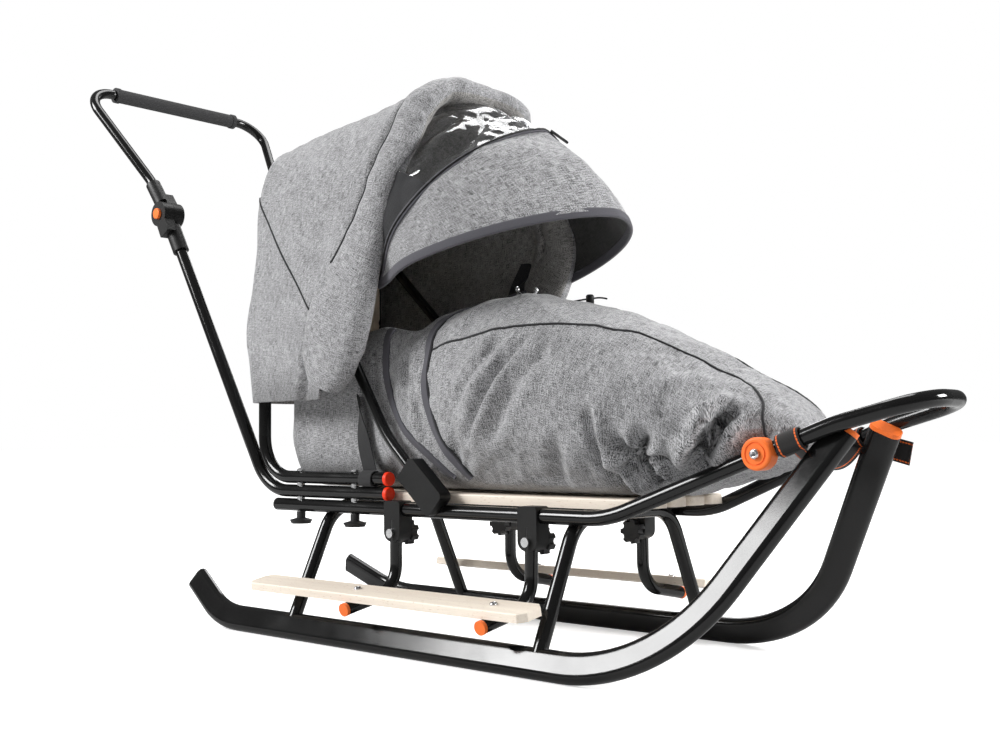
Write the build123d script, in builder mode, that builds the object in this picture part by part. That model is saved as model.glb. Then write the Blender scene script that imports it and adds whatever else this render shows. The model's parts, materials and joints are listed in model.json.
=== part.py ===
from build123d import *
from math import asin, atan, copysign, cos, degrees, pi, radians, sin, sqrt, tan
import os

os.makedirs("parts", exist_ok=True)

# A child's push sled: two steel runners, a tubular seat frame with wooden slats and footboards, a backrest
# frame with a fabric hood and footmuff, and a push handle that folds on two locking hinges.
# Millimetres. +X is forward, +Y is the sled's left, +Z is up. The origin is on the floor, under the middle.
# Pieces of the right side are made first, at negative Y, and mirrored for the left.

# Clearances
ARM_SLACK = 1.0         # room that the footmuff's toe and the tow strap leave round the sloping arms
WELD_GAP = 0.2          # between steel or wooden pieces that are welded, bolted or pushed together
CLOTH_GAP = 0.3         # between fabric pieces and what carries them
PIN_GAP = 0.08          # radial running clearance of the hinge pins
FACE_GAP = 0.4          # between the two halves of a folding hinge

# Runners: flat-oval tube, each in a plane that leans inward
RUNNER_DEPTH = 40.0
RUNNER_WIDTH = 20.0
RUNNER_LEAN = 25.0
RUNNER_TAIL_X = -437.0
RUNNER_TAIL_RISE = 53.0
RUNNER_TAIL_BEND_X = -337.0
RUNNER_TAIL_BEND_R = 180.0
RUNNER_NOSE_BEND_X = 498.0
RUNNER_NOSE_BEND_R = 230.0
RUNNER_NOSE_X = 671.0
RUNNER_NOSE_RISE = 314.0
NOSE_CAP_LENGTH = 6.0
TAIL_PLUG_LENGTH = 3.0

# Seat tube: a U with its closed end forward, the arms rising to a tow loop
SEAT_TUBE_D = 20.0
SEAT_HALF_WIDTH = 122.0
SEAT_HEIGHT = 196.0
SEAT_REAR_X = -279.0
ARM_BEND_X = 383.0
ARM_BEND_R = 150.0
ARM_KNEE_R = 200.0
LOOP_FRONT_X = 773.0
LOOP_HALF_WIDTH = 60.0
LOOP_HEIGHT = 340.0
LOOP_CORNER_R = 55.0
SEAT_PLUG_LENGTH = 4.0

# Arches under the seat, their legs leaning as the runners do
ARCH_TUBE_D = 20.0
ARCH_BEND_R = 60.0
SEAT_OVERHANG = 15.5    # how far the seat tube's axis stands outside the line of the arch legs
REAR_ARCH_X = -162.0
FRONT_ARCH_X = 322.0

# Seat slats and footboards
SLAT_COUNT = 5
SLAT_WIDTH = 36.0
SLAT_SPACE = 8.5
SLAT_THICKNESS = 14.0
SLAT_REAR_X = -222.0
SLAT_FRONT_X = 413.0
SLAT_EDGE_R = 3.0
BOARD_REAR_X = -228.0
BOARD_FRONT_X = 328.0
BOARD_WIDTH = 46.0
BOARD_THICKNESS = 12.0
BOARD_CORNER = 10.0
BOARD_EDGE_R = 2.0
BOARD_LEG_GAP = 2.0

# Footboard hangers: J tubes held by clamps on the seat tube
HANGER_TUBE_D = 18.0
HANGER_XS = (1.0, 261.0)
HANGER_HALF_WIDTH = 126.0
HANGER_BEND_R = 45.0
HANGER_BEND_HEIGHT = 80.0
HANGER_OVERHANG = 2.4
HANGER_END_HEIGHT = 62.0
HANGER_TOP_GAP = 5.0
HANGER_CAP_LENGTH = 5.0
CAP_LIP = 0.4           # how far the end caps stand proud of their tubes
CLAMP_WIDTH = 33.0
CLAMP_WALL = 3.0
CLAMP_DROP = 46.0
CLAMP_FOOT_R = 13.9
CLAMP_TOP_R = 5.3
CLAMP_BOLT_DROP = 34.0
CLAMP_BOLT_D = 8.0
KNOB_D = 36.0
KNOB_LOBES = 7
KNOB_LOBE_D = 9.0
KNOB_THICKNESS = 13.0
BOLT_HEAD_D = 13.0
BOLT_HEAD_HEIGHT = 5.0

# Tubes stacked on the seat tube: the push tubes and, above them, the backrest tube
FRAME_TUBE_D = 20.0
STACK_COLLAR = 2.0
STACK_COLLAR_D = 12.0
STACK_FRONT_X = -22.0
STACK_CAP_LENGTH = 7.0
STACK_BOLT_XS = (-223.0, -94.0)
STACK_BOLT_D = 7.0
STACK_KNOB_D = 36.0
STACK_KNOB_STEM_D = 14.0
STACK_KNOB_STEM = 10.0
STACK_KNOB_HEIGHT = 9.0
BACK_X = -317.0
BACK_HEIGHT = 735.0
BACK_FOOT_R = 65.0
BACK_TOP_R = 70.0
PUSH_BEND_X = -308.0
PUSH_BEND_R = 80.0

# Folding hinges and push handle
HINGE_X = -566.0
HINGE_HEIGHT = 701.0
HINGE_HALF_WIDTH = 148.0
HINGE_DISC_D = 44.0
HINGE_HALF_THICKNESS = 19.8
HINGE_TONGUE_WIDTH = 26.0
HINGE_SLEEVE_START = 28.0
HINGE_SLEEVE_END = 78.0
HINGE_SLEEVE_WALL = 4.0
HINGE_SLEEVE_FLOOR = 3.0
HINGE_PIN_D = 10.0
HINGE_BUTTON_D = 19.0
HINGE_BUTTON_HEIGHT = 5.0
HANDLE_TUBE_D = 18.0
HANDLE_RAKE = 38.0
HANDLE_KNEE = 85.0
HANDLE_KNEE_R = 100.0
HANDLE_SPREAD = 205.0
HANDLE_REACH = 329.0
HANDLE_CORNER_R = 50.0
GRIP_D = 26.0
GRIP_LENGTH = 264.0
GRIP_COLLAR_D = 29.0
GRIP_COLLAR_LENGTH = 8.0

# Braces from sockets on the seat tube up to the backrest tube
BRACE_TUBE_D = 16.0
BRACE_BENDS = (         # x, half width, rise above the seat tube, from the foot up
    (85.0, 135.0, 21.0),
    (-14.0, 130.0, 108.0),
    (-100.0, 130.0, 242.0),
)
BRACE_TOP_RISE = 454.0
BRACE_BEND_R = 200.0
SOCKET_LENGTH = 84.0
SOCKET_WIDTH = 42.0
SOCKET_THICKNESS = 22.0
SOCKET_CORNER_R = 8.0

# Hood: a tapered arch-shaped shell, closed behind, with a padded roll round its front edge
HOOD_WALL = 5.0
HOOD_HEM_HEIGHT = 360.0
HOOD_REAR_HALF_WIDTH = 148.5
HOOD_REAR_HEIGHT = 794.0
HOOD_REAR_CORNER_R = 84.0
HOOD_FRONT_X = 60.0
HOOD_FRONT_HALF_WIDTH = 183.0
HOOD_FRONT_HEIGHT = 839.0
HOOD_FRONT_CORNER_R = 118.0
ROLL_D = 46.0
ROLL_HALF_WIDTH = 168.0
ROLL_TIP = (-129.0, 377.0)
ROLL_KNEE = (-40.0, 512.0)
ROLL_TOP = (43.0, 826.0)
ROLL_KNEE_R = 150.0
ROLL_CORNER_R = 130.0

# Visor and window: arches that fan out about a line through the roll's sides
VISOR_PIVOT_X = -16.7
VISOR_PIVOT_HEIGHT = 526.3
VISOR_HALF_WIDTH = 186.0
VISOR_ROOT_LENGTH = 40.0
VISOR_WALL = 5.0
WINDOW_WALL = 3.0
VISOR_REACH = 342.0
SEAM_ARCH = (47.8, 0.880, 1.42, 3.05)               # angle above level, share of the visor's reach,
VISOR_ARCHES = (                                    # and the arch's powers across and along
    (14.1, 1.0, 1.70, 2.57),
    (30.0, 0.933, 1.56, 2.80),
)
WINDOW_ARCHES = (
    (57.0, 0.893, 1.50, 3.00),
    (66.0, 0.893, 1.60, 3.00),
    (78.0, 0.880, 1.80, 2.90),
)
SEAM_PLAY = 0.06                                    # angle between the visor and the window
ARCH_POINTS = 19

# Footmuff and backrest pad
MUFF_BODY = (           # x, half width, height above the slats, power of the upper half
    (-255.0, 107.0, 247.0, 4.6),
    (-40.0, 114.0, 261.0, 4.2),
    (20.0, 118.0, 267.0, 3.2),
    (70.0, 124.0, 274.0, 2.5),
    (118.0, 134.0, 278.0, 2.45),
    (175.0, 146.0, 276.0, 2.45),
    (240.0, 151.0, 266.0, 2.45),
    (300.0, 150.0, 251.0, 2.45),
    (370.0, 147.0, 227.0, 2.45),
)
MUFF_TOE = (            # x, half width, height above the arms, power of the upper half
    (440.0, 138.0, 193.0, 2.4),
    (505.0, 122.0, 143.0, 2.3),
    (560.0, 102.0, 92.0, 2.2),
    (598.0, 82.0, 46.0, 2.2),
    (612.0, 58.0, 22.0, 2.2),
)
MUFF_FLOOR_POWER = 3.2
MUFF_TOE_POWER = 2.3
MUFF_WIDEST = 0.45      # where a section is widest, as a share of its height
MUFF_POINTS = 24
MUFF_SAG = 0.7          # how far its floor may bow down between those points
WELL_REAR_X = -236.0
WELL_FRONT_X = -4.0
WELL_HALF_WIDTH = 84.0
WELL_FLOOR = 112.0      # above the slats
WELL_CORNER_R = 30.0
PAD_THICKNESS = 38.0
PAD_HALF_WIDTH = 104.0
PAD_SLAT_GAP = 3.0
PAD_EDGE_R = 14.0

# Straps
STRAP_WIDTH = 22.0
STRAP_THICKNESS = 1.4
STRAP_X = -50.0
STRAP_LEAN = 13.0
STRAP_LENGTH = 116.0
STRAP_INSET = 3.0
TOW_X = 620.0
TOW_WIDTH = 26.0
TOW_THICKNESS = 2.0
TOW_SAG = 26.0
DISC_X = 587.0
DISC_D = 39.0
DISC_DEPTH = 9.0
DISC_GROOVE_R = 14.0
DISC_GROOVE_WIDTH = 2.0
DISC_GROOVE_DEPTH = 1.2

# Sizes that follow from those above
lean = radians(RUNNER_LEAN)
runner_r = RUNNER_WIDTH / 2
runner_axis_z = runner_r + (RUNNER_DEPTH / 2 - runner_r) * cos(lean)
half_track = SEAT_HALF_WIDTH - SEAT_OVERHANG + (SEAT_HEIGHT - runner_axis_z) * tan(lean)
seat_r = SEAT_TUBE_D / 2
frame_r = FRAME_TUBE_D / 2
push_z = SEAT_HEIGHT + seat_r + STACK_COLLAR + frame_r
back_z = push_z + FRAME_TUBE_D + STACK_COLLAR
runner_plane = Plane(
    origin=(0, -half_track, runner_axis_z),
    x_dir=(1, 0, 0),
    z_dir=(0, -cos(lean), sin(lean)),
)


def round_section(path, radius):
    """Return a disc square to the start of a path."""
    with BuildSketch(Plane(origin=path @ 0, z_dir=path % 0)) as section:
        Circle(radius)
    return section.sketch


def oval_section(origin, direction):
    """Return the runner's flat-oval section, its long way in the runner's plane."""
    with BuildSketch(Plane(origin=origin, x_dir=runner_plane.z_dir, z_dir=direction)) as section:
        SlotOverall(RUNNER_DEPTH, RUNNER_WIDTH, rotation=90)
    return section.sketch


def mirror_y(point):
    """Return a point's twin on the other side of the sled."""
    return (point[0], -point[1], point[2])


def both_sides(right_points):
    """Return points that run up the right side and back down the left."""
    return right_points + [mirror_y(point) for point in reversed(right_points)]


# Centre lines. The arms lie on the outer faces of the runners' noses.
knee = runner_plane.from_local_coords((RUNNER_NOSE_X, RUNNER_NOSE_RISE, runner_r + seat_r + WELD_GAP))
with BuildLine(runner_plane) as runner_line:
    FilletPolyline(
        (RUNNER_TAIL_X, RUNNER_TAIL_RISE),
        (RUNNER_TAIL_BEND_X, 0),
        (RUNNER_NOSE_BEND_X, 0),
        (RUNNER_NOSE_X, RUNNER_NOSE_RISE),
        radius=[RUNNER_TAIL_BEND_R, RUNNER_NOSE_BEND_R],
    )
runner_path = runner_line.wire()

arm_foot = Vector(ARM_BEND_X, -SEAT_HALF_WIDTH, SEAT_HEIGHT)
seat_points = both_sides(
    [
        (SEAT_REAR_X, -SEAT_HALF_WIDTH, SEAT_HEIGHT),
        tuple(arm_foot),
        tuple(knee),
        (LOOP_FRONT_X, -LOOP_HALF_WIDTH, LOOP_HEIGHT),
    ]
)
with BuildLine() as seat_line:
    FilletPolyline(
        *seat_points,
        radius=[ARM_BEND_R, ARM_KNEE_R, LOOP_CORNER_R, LOOP_CORNER_R, ARM_KNEE_R, ARM_BEND_R],
    )
seat_path = seat_line.wire()


def arm_point(x):
    """Return the point of the right arm's straight run at a given x."""
    return arm_foot + (knee - arm_foot) * ((x - arm_foot.X) / (knee.X - arm_foot.X))


# Each arch leg lies in its runner's plane, and the seat tube sits on the shoulder of the arch's bend.
seat_reach = ARCH_BEND_R + ARCH_TUBE_D / 2 + seat_r + WELD_GAP
from_leg = Vector(
    half_track - SEAT_HALF_WIDTH - ARCH_BEND_R * cos(lean),
    SEAT_HEIGHT - runner_axis_z + ARCH_BEND_R * sin(lean),
)
along_leg = from_leg.X * sin(lean) + from_leg.Y * cos(lean)
centre_along_leg = along_leg - sqrt(along_leg**2 - from_leg.length**2 + seat_reach**2)
arch_top_z = runner_axis_z + centre_along_leg * cos(lean) + ARCH_BEND_R * (1 - sin(lean))
arch_corner_y = half_track - (arch_top_z - runner_axis_z) * tan(lean)
saddle_rise = RUNNER_DEPTH / 2 - runner_r
saddle_y = half_track - saddle_rise * sin(lean)
saddle_z = runner_axis_z + saddle_rise * cos(lean)
slat_bottom = arch_top_z + ARCH_TUBE_D / 2 + WELD_GAP
slat_top = slat_bottom + SLAT_THICKNESS

back_points = both_sides(
    [
        (STACK_FRONT_X, -SEAT_HALF_WIDTH, back_z),
        (BACK_X, -SEAT_HALF_WIDTH, back_z),
        (BACK_X, -SEAT_HALF_WIDTH, BACK_HEIGHT),
    ]
)
with BuildLine() as back_line:
    FilletPolyline(*back_points, radius=[BACK_FOOT_R, BACK_TOP_R, BACK_TOP_R, BACK_FOOT_R])
back_path = back_line.wire()

roll_points = both_sides([(x, -ROLL_HALF_WIDTH, z) for x, z in (ROLL_TIP, ROLL_KNEE, ROLL_TOP)])
with BuildLine() as roll_line:
    FilletPolyline(*roll_points, radius=[ROLL_KNEE_R, ROLL_CORNER_R, ROLL_CORNER_R, ROLL_KNEE_R])
roll_path = roll_line.wire()

right_pieces = {}
whole_pieces = {}

# Runners, notched where the arms of the seat tube lie against their noses
with BuildPart() as runner:
    sweep(oval_section(runner_path @ 0, runner_path % 0), path=runner_path)
    sweep(round_section(seat_path, seat_r + WELD_GAP), path=seat_path, mode=Mode.SUBTRACT)
right_pieces["runner"] = runner

with BuildPart() as nose_caps:
    nose_dir = runner_path % 1
    extrude(oval_section(runner_path @ 1 + nose_dir * WELD_GAP, nose_dir), amount=NOSE_CAP_LENGTH)
    sweep(round_section(seat_path, seat_r + WELD_GAP), path=seat_path, mode=Mode.SUBTRACT)
    mirror(about=Plane.XZ)
whole_pieces["runner_nose_caps"] = nose_caps

with BuildPart() as tail_plugs:
    tail_dir = -(runner_path % 0)
    extrude(oval_section(runner_path @ 0 + tail_dir * WELD_GAP, tail_dir), amount=TAIL_PLUG_LENGTH)
    mirror(about=Plane.XZ)
whole_pieces["runner_tail_plugs"] = tail_plugs

# Arches, their feet cut to saddles that sit on the runners
for name, arch_x in (("rear_arch", REAR_ARCH_X), ("front_arch", FRONT_ARCH_X)):
    with BuildLine(Plane.YZ.offset(arch_x)) as arch_line:
        FilletPolyline(
            (-saddle_y, saddle_z),
            (-arch_corner_y, arch_top_z),
            (arch_corner_y, arch_top_z),
            (saddle_y, saddle_z),
            radius=ARCH_BEND_R,
        )
    arch_path = arch_line.wire()
    with BuildPart() as arch:
        sweep(round_section(arch_path, ARCH_TUBE_D / 2), path=arch_path)
        with Locations((arch_x, -saddle_y, saddle_z), (arch_x, saddle_y, saddle_z)):
            Cylinder(runner_r + WELD_GAP, 2 * ARCH_TUBE_D, rotation=(0, 90, 0), mode=Mode.SUBTRACT)
    whole_pieces[name] = arch

# Seat tube, with its plugs at the rear ends
with BuildPart() as seat_tube:
    sweep(round_section(seat_path, seat_r), path=seat_path)
    with Locations(*[(x, y * SEAT_HALF_WIDTH, SEAT_HEIGHT) for x in STACK_BOLT_XS for y in (-1, 1)]):
        Cylinder(STACK_BOLT_D / 2 + WELD_GAP, 2 * SEAT_TUBE_D, mode=Mode.SUBTRACT)
whole_pieces["seat_tube"] = seat_tube

with BuildPart() as seat_plugs:
    with BuildSketch(Plane.YZ.offset(SEAT_REAR_X - WELD_GAP)):
        with Locations((-SEAT_HALF_WIDTH, SEAT_HEIGHT), (SEAT_HALF_WIDTH, SEAT_HEIGHT)):
            Circle(seat_r)
    extrude(amount=-SEAT_PLUG_LENGTH)
    chamfer(seat_plugs.edges().group_by(Axis.X)[0], length=SEAT_PLUG_LENGTH / 3)
whole_pieces["seat_tube_plugs"] = seat_plugs

# Wooden slats along the seat
with BuildPart() as slats:
    with BuildSketch(Plane.XY.offset(slat_bottom)):
        with Locations(((SLAT_REAR_X + SLAT_FRONT_X) / 2, 0)):
            with GridLocations(0, SLAT_WIDTH + SLAT_SPACE, 1, SLAT_COUNT):
                RectangleRounded(SLAT_FRONT_X - SLAT_REAR_X, SLAT_WIDTH, SLAT_WIDTH / 4)
    extrude(amount=SLAT_THICKNESS)
    fillet(slats.edges().group_by(Axis.Z)[-1], radius=SLAT_EDGE_R)
whole_pieces["seat_slats"] = slats

# Footboards lie on the outer runs of the hangers, with the same fall
hanger_r = HANGER_TUBE_D / 2
leg_y = half_track - (HANGER_BEND_HEIGHT - runner_axis_z) * tan(lean)
board_y = leg_y + ARCH_TUBE_D / 2 / cos(lean) + BOARD_LEG_GAP + BOARD_WIDTH / 2
hanger_end_y = board_y + BOARD_WIDTH / 2 + HANGER_OVERHANG
hanger_fall = atan((HANGER_BEND_HEIGHT - HANGER_END_HEIGHT) / (hanger_end_y - HANGER_HALF_WIDTH))
board_axis_z = HANGER_END_HEIGHT + (hanger_end_y - board_y) * tan(hanger_fall)
board_plane = Plane(
    origin=((BOARD_REAR_X + BOARD_FRONT_X) / 2, -board_y, board_axis_z),
    x_dir=(1, 0, 0),
    z_dir=(0, -sin(hanger_fall), cos(hanger_fall)),
)
with BuildPart() as footboard:
    with BuildSketch(board_plane.offset(hanger_r + WELD_GAP)) as outline:
        Rectangle(BOARD_FRONT_X - BOARD_REAR_X, BOARD_WIDTH)
        chamfer(outline.vertices(), length=BOARD_CORNER)
    extrude(amount=BOARD_THICKNESS)
    fillet(footboard.faces().sort_by(Axis.Z)[-1].edges(), radius=BOARD_EDGE_R)
right_pieces["footboard"] = footboard

# Hangers hang from the clamps below the seat tube, each with a bolt hole near its top
clamp_bolt_z = SEAT_HEIGHT - CLAMP_BOLT_DROP
hanger_top_z = SEAT_HEIGHT - seat_r - HANGER_TOP_GAP
with BuildPart() as hangers:
    for hanger_x in HANGER_XS:
        with BuildLine(Plane.YZ.offset(hanger_x)) as hanger_line:
            FilletPolyline(
                (-HANGER_HALF_WIDTH, hanger_top_z),
                (-HANGER_HALF_WIDTH, HANGER_BEND_HEIGHT),
                (-hanger_end_y, HANGER_END_HEIGHT),
                radius=HANGER_BEND_R,
            )
        hanger_path = hanger_line.wire()
        sweep(round_section(hanger_path, hanger_r), path=hanger_path)
        with Locations((hanger_x, -HANGER_HALF_WIDTH, clamp_bolt_z)):
            Cylinder(CLAMP_BOLT_D / 2 + WELD_GAP, 2 * HANGER_TUBE_D, rotation=(90, 0, 0), mode=Mode.SUBTRACT)
right_pieces["hangers"] = hangers

outward = Vector(0, -cos(hanger_fall), -sin(hanger_fall))
with BuildPart() as hanger_caps:
    for hanger_x in HANGER_XS:
        hanger_end = Vector(hanger_x, -hanger_end_y, HANGER_END_HEIGHT)
        with BuildSketch(Plane(origin=hanger_end + outward * WELD_GAP, z_dir=outward)):
            Circle(hanger_r + CAP_LIP)
        extrude(amount=HANGER_CAP_LENGTH)
    mirror(about=Plane.XZ)
whole_pieces["hanger_caps"] = hanger_caps

# Clamps round the seat tube and the hanger tops, with rounded lower ends
clamp_depth = SEAT_TUBE_D + 2 * CLAMP_WALL
clamp_outer_y = -SEAT_HALF_WIDTH - clamp_depth / 2
clamp_top_z = SEAT_HEIGHT + seat_r + CLAMP_WALL
clamp_height = clamp_top_z - SEAT_HEIGHT + CLAMP_DROP
with BuildPart() as clamps:
    for hanger_x in HANGER_XS:
        with BuildSketch(Plane.XZ.offset(-clamp_outer_y)) as clamp_outline:
            with Locations((hanger_x, clamp_top_z - clamp_height / 2)):
                Rectangle(CLAMP_WIDTH, clamp_height)
            fillet(clamp_outline.vertices().group_by(Axis.Y)[0], radius=CLAMP_FOOT_R)
            fillet(clamp_outline.vertices().group_by(Axis.Y)[-1], radius=CLAMP_TOP_R)
        extrude(amount=-clamp_depth)
        with Locations((hanger_x, -SEAT_HALF_WIDTH, SEAT_HEIGHT)):
            Cylinder(seat_r + WELD_GAP, 2 * CLAMP_WIDTH, rotation=(0, 90, 0), mode=Mode.SUBTRACT)
        with BuildSketch(Plane.XY.offset(hanger_top_z + WELD_GAP)):
            with Locations((hanger_x, -HANGER_HALF_WIDTH)):
                Circle(hanger_r + WELD_GAP)
        extrude(amount=-CLAMP_DROP, mode=Mode.SUBTRACT)
        with Locations((hanger_x, -SEAT_HALF_WIDTH, clamp_bolt_z)):
            Cylinder(CLAMP_BOLT_D / 2 + WELD_GAP, 2 * clamp_depth, rotation=(90, 0, 0), mode=Mode.SUBTRACT)
right_pieces["hanger_clamps"] = clamps

# Star knobs on the inner ends of the clamp bolts
clamp_inner_y = clamp_outer_y + clamp_depth
with BuildPart() as star_knobs:
    for hanger_x in HANGER_XS:
        with BuildSketch(Plane.XZ.offset(-clamp_inner_y - WELD_GAP)):
            with Locations((hanger_x, clamp_bolt_z)):
                Circle(KNOB_D / 2)
                with PolarLocations(KNOB_D / 2, KNOB_LOBES):
                    Circle(KNOB_LOBE_D / 2, mode=Mode.SUBTRACT)
        extrude(amount=-KNOB_THICKNESS)
        with BuildSketch(Plane.XZ.offset(-clamp_inner_y - WELD_GAP)):
            with Locations((hanger_x, clamp_bolt_z)):
                Circle(CLAMP_BOLT_D / 2)
        extrude(amount=clamp_depth + 2 * WELD_GAP)
        with BuildSketch(Plane.XZ.offset(-clamp_outer_y + WELD_GAP)):
            with Locations((hanger_x, clamp_bolt_z)):
                Circle(BOLT_HEAD_D / 2)
        extrude(amount=BOLT_HEAD_HEIGHT)
right_pieces["star_knobs"] = star_knobs

# Push tubes run along the seat tube, then up and back to the hinges
hinge_point = Vector(HINGE_X, -HINGE_HALF_WIDTH, HINGE_HEIGHT)
push_corner = Vector(PUSH_BEND_X, -SEAT_HALF_WIDTH, push_z)
push_dir = (hinge_point - push_corner).normalized()
push_end = hinge_point - push_dir * (HINGE_SLEEVE_START + HINGE_SLEEVE_FLOOR)
with BuildLine() as push_line:
    FilletPolyline(
        (STACK_FRONT_X, -SEAT_HALF_WIDTH, push_z),
        tuple(push_corner),
        tuple(push_end),
        radius=PUSH_BEND_R,
    )
push_path = push_line.wire()
with BuildPart() as push_tube:
    sweep(round_section(push_path, frame_r), path=push_path)
    with Locations(*[(x, -SEAT_HALF_WIDTH, push_z) for x in STACK_BOLT_XS]):
        Cylinder(STACK_BOLT_D / 2 + WELD_GAP, 2 * FRAME_TUBE_D, mode=Mode.SUBTRACT)
right_pieces["push_tube"] = push_tube

# Backrest tube: a tall U on top of the stack
with BuildPart() as backrest_tube:
    sweep(round_section(back_path, frame_r), path=back_path)
    with Locations(*[(x, y * SEAT_HALF_WIDTH, back_z) for x in STACK_BOLT_XS for y in (-1, 1)]):
        Cylinder(STACK_BOLT_D / 2 + WELD_GAP, 2 * FRAME_TUBE_D, mode=Mode.SUBTRACT)
whole_pieces["backrest_tube"] = backrest_tube

with BuildPart() as stack_caps:
    with BuildSketch(Plane.YZ.offset(STACK_FRONT_X + WELD_GAP)):
        with Locations((-SEAT_HALF_WIDTH, push_z), (-SEAT_HALF_WIDTH, back_z)):
            Circle(frame_r + CAP_LIP)
    extrude(amount=STACK_CAP_LENGTH)
    fillet(stack_caps.edges().group_by(Axis.X)[-1], radius=STACK_CAP_LENGTH / 3)
right_pieces["stack_caps"] = stack_caps

# Bolts through the stack, with saddle collars between the tubes and a round knob under the seat tube
bolt_top_z = back_z + frame_r + WELD_GAP
knob_top_z = SEAT_HEIGHT - seat_r - WELD_GAP
knob_rim_z = knob_top_z - STACK_KNOB_STEM
knob_base_z = knob_rim_z - STACK_KNOB_HEIGHT
bolt_outline = (        # radius, height
    (0, bolt_top_z + BOLT_HEAD_HEIGHT),
    (BOLT_HEAD_D / 2, bolt_top_z + BOLT_HEAD_HEIGHT / 2),
    (BOLT_HEAD_D / 2, bolt_top_z),
    (STACK_BOLT_D / 2, bolt_top_z),
    (STACK_BOLT_D / 2, knob_top_z),
    (STACK_KNOB_STEM_D / 2, knob_top_z),
    (STACK_KNOB_STEM_D / 2, knob_rim_z),
    (STACK_KNOB_D / 2, knob_rim_z - STACK_KNOB_HEIGHT / 3),
    (STACK_KNOB_D / 2 - STACK_KNOB_HEIGHT / 3, knob_base_z),
    (0, knob_base_z),
)
with BuildPart() as stack_bolts:
    for bolt_x in STACK_BOLT_XS:
        for lower_z in (SEAT_HEIGHT, push_z):
            with BuildSketch(Plane.XY.offset(lower_z)):
                with Locations((bolt_x, -SEAT_HALF_WIDTH)):
                    Circle(STACK_COLLAR_D / 2)
            extrude(amount=FRAME_TUBE_D + STACK_COLLAR)
        for tube_z, tube_r in ((SEAT_HEIGHT, seat_r), (push_z, frame_r), (back_z, frame_r)):
            with Locations((bolt_x, -SEAT_HALF_WIDTH, tube_z)):
                Cylinder(tube_r + WELD_GAP, 2 * STACK_COLLAR_D, rotation=(0, 90, 0), mode=Mode.SUBTRACT)
        with BuildSketch(Plane.XZ.offset(SEAT_HALF_WIDTH)):
            with BuildLine():
                Polyline(*[(bolt_x + radius, height) for radius, height in bolt_outline], close=True)
            make_face()
        revolve(axis=Axis((bolt_x, -SEAT_HALF_WIDTH, 0), (0, 0, 1)))
right_pieces["stack_bolts"] = stack_bolts

# Lower hinge halves: a disc with the pin, a tongue and a sleeve over the push tube
hinge_reach = HINGE_SLEEVE_START + HINGE_SLEEVE_WALL + FRAME_TUBE_D / 2
push_tilt = degrees(atan(push_dir.Z / push_dir.X))
with BuildPart() as hinge_base:
    with BuildSketch(Plane.XZ.offset(HINGE_HALF_WIDTH + FACE_GAP / 2)):
        with Locations((HINGE_X, HINGE_HEIGHT)):
            Circle(HINGE_DISC_D / 2)
        tongue = hinge_point - push_dir * (hinge_reach / 2)
        with Locations((tongue.X, tongue.Z)):
            Rectangle(hinge_reach, HINGE_TONGUE_WIDTH, rotation=push_tilt)
    extrude(amount=HINGE_HALF_THICKNESS)
    with BuildSketch(Plane(origin=hinge_point - push_dir * HINGE_SLEEVE_START, z_dir=-push_dir)):
        Circle(frame_r + HINGE_SLEEVE_WALL)
    extrude(amount=HINGE_SLEEVE_END - HINGE_SLEEVE_START)
    with BuildSketch(Plane(origin=push_end + push_dir * WELD_GAP, z_dir=-push_dir)):
        Circle(frame_r + WELD_GAP)
    extrude(amount=HINGE_SLEEVE_END, mode=Mode.SUBTRACT)
    with BuildSketch(Plane.XZ.offset(HINGE_HALF_WIDTH + FACE_GAP)):
        with Locations((HINGE_X, HINGE_HEIGHT)):
            Circle(HINGE_PIN_D / 2)
    extrude(amount=-(HINGE_HALF_THICKNESS + 2 * FACE_GAP))
right_pieces["hinge_base"] = hinge_base

with BuildPart() as hinge_button:
    with BuildSketch(Plane.XZ.offset(HINGE_HALF_WIDTH + FACE_GAP / 2 + HINGE_HALF_THICKNESS + WELD_GAP)):
        with Locations((HINGE_X, HINGE_HEIGHT)):
            Circle(HINGE_BUTTON_D / 2)
    extrude(amount=HINGE_BUTTON_HEIGHT)
    fillet(hinge_button.edges().group_by(Axis.Y)[0], radius=HINGE_BUTTON_HEIGHT / 3)
right_pieces["hinge_button"] = hinge_button

# Upper hinge halves turn on the pins and carry the push handle
rake = radians(HANDLE_RAKE)
handle_dir = Vector(-sin(rake), 0, cos(rake))
handle_plane = Plane(
    origin=(HINGE_X, 0, HINGE_HEIGHT), x_dir=(0, 1, 0), z_dir=(cos(rake), 0, sin(rake))
)
handle_start = HINGE_SLEEVE_START + HINGE_SLEEVE_FLOOR
with BuildPart() as hinge_arm:
    with BuildSketch(Plane.XZ.offset(HINGE_HALF_WIDTH - FACE_GAP / 2)):
        with Locations((HINGE_X, HINGE_HEIGHT)):
            Circle(HINGE_DISC_D / 2)
        tongue = hinge_point + handle_dir * (hinge_reach / 2)
        with Locations((tongue.X, tongue.Z)):
            Rectangle(hinge_reach, HINGE_TONGUE_WIDTH, rotation=90 + HANDLE_RAKE)
        with Locations((HINGE_X, HINGE_HEIGHT)):
            Circle(HINGE_PIN_D / 2 + PIN_GAP, mode=Mode.SUBTRACT)
    extrude(amount=-HINGE_HALF_THICKNESS)
    with BuildSketch(Plane(origin=hinge_point + handle_dir * HINGE_SLEEVE_START, z_dir=handle_dir)):
        Circle(HANDLE_TUBE_D / 2 + HINGE_SLEEVE_WALL)
    extrude(amount=HINGE_SLEEVE_END - HINGE_SLEEVE_START)
    with BuildSketch(Plane(origin=hinge_point + handle_dir * (handle_start - WELD_GAP), z_dir=handle_dir)):
        Circle(HANDLE_TUBE_D / 2 + WELD_GAP)
    extrude(amount=HINGE_SLEEVE_END, mode=Mode.SUBTRACT)
right_pieces["hinge_arm"] = hinge_arm

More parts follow.
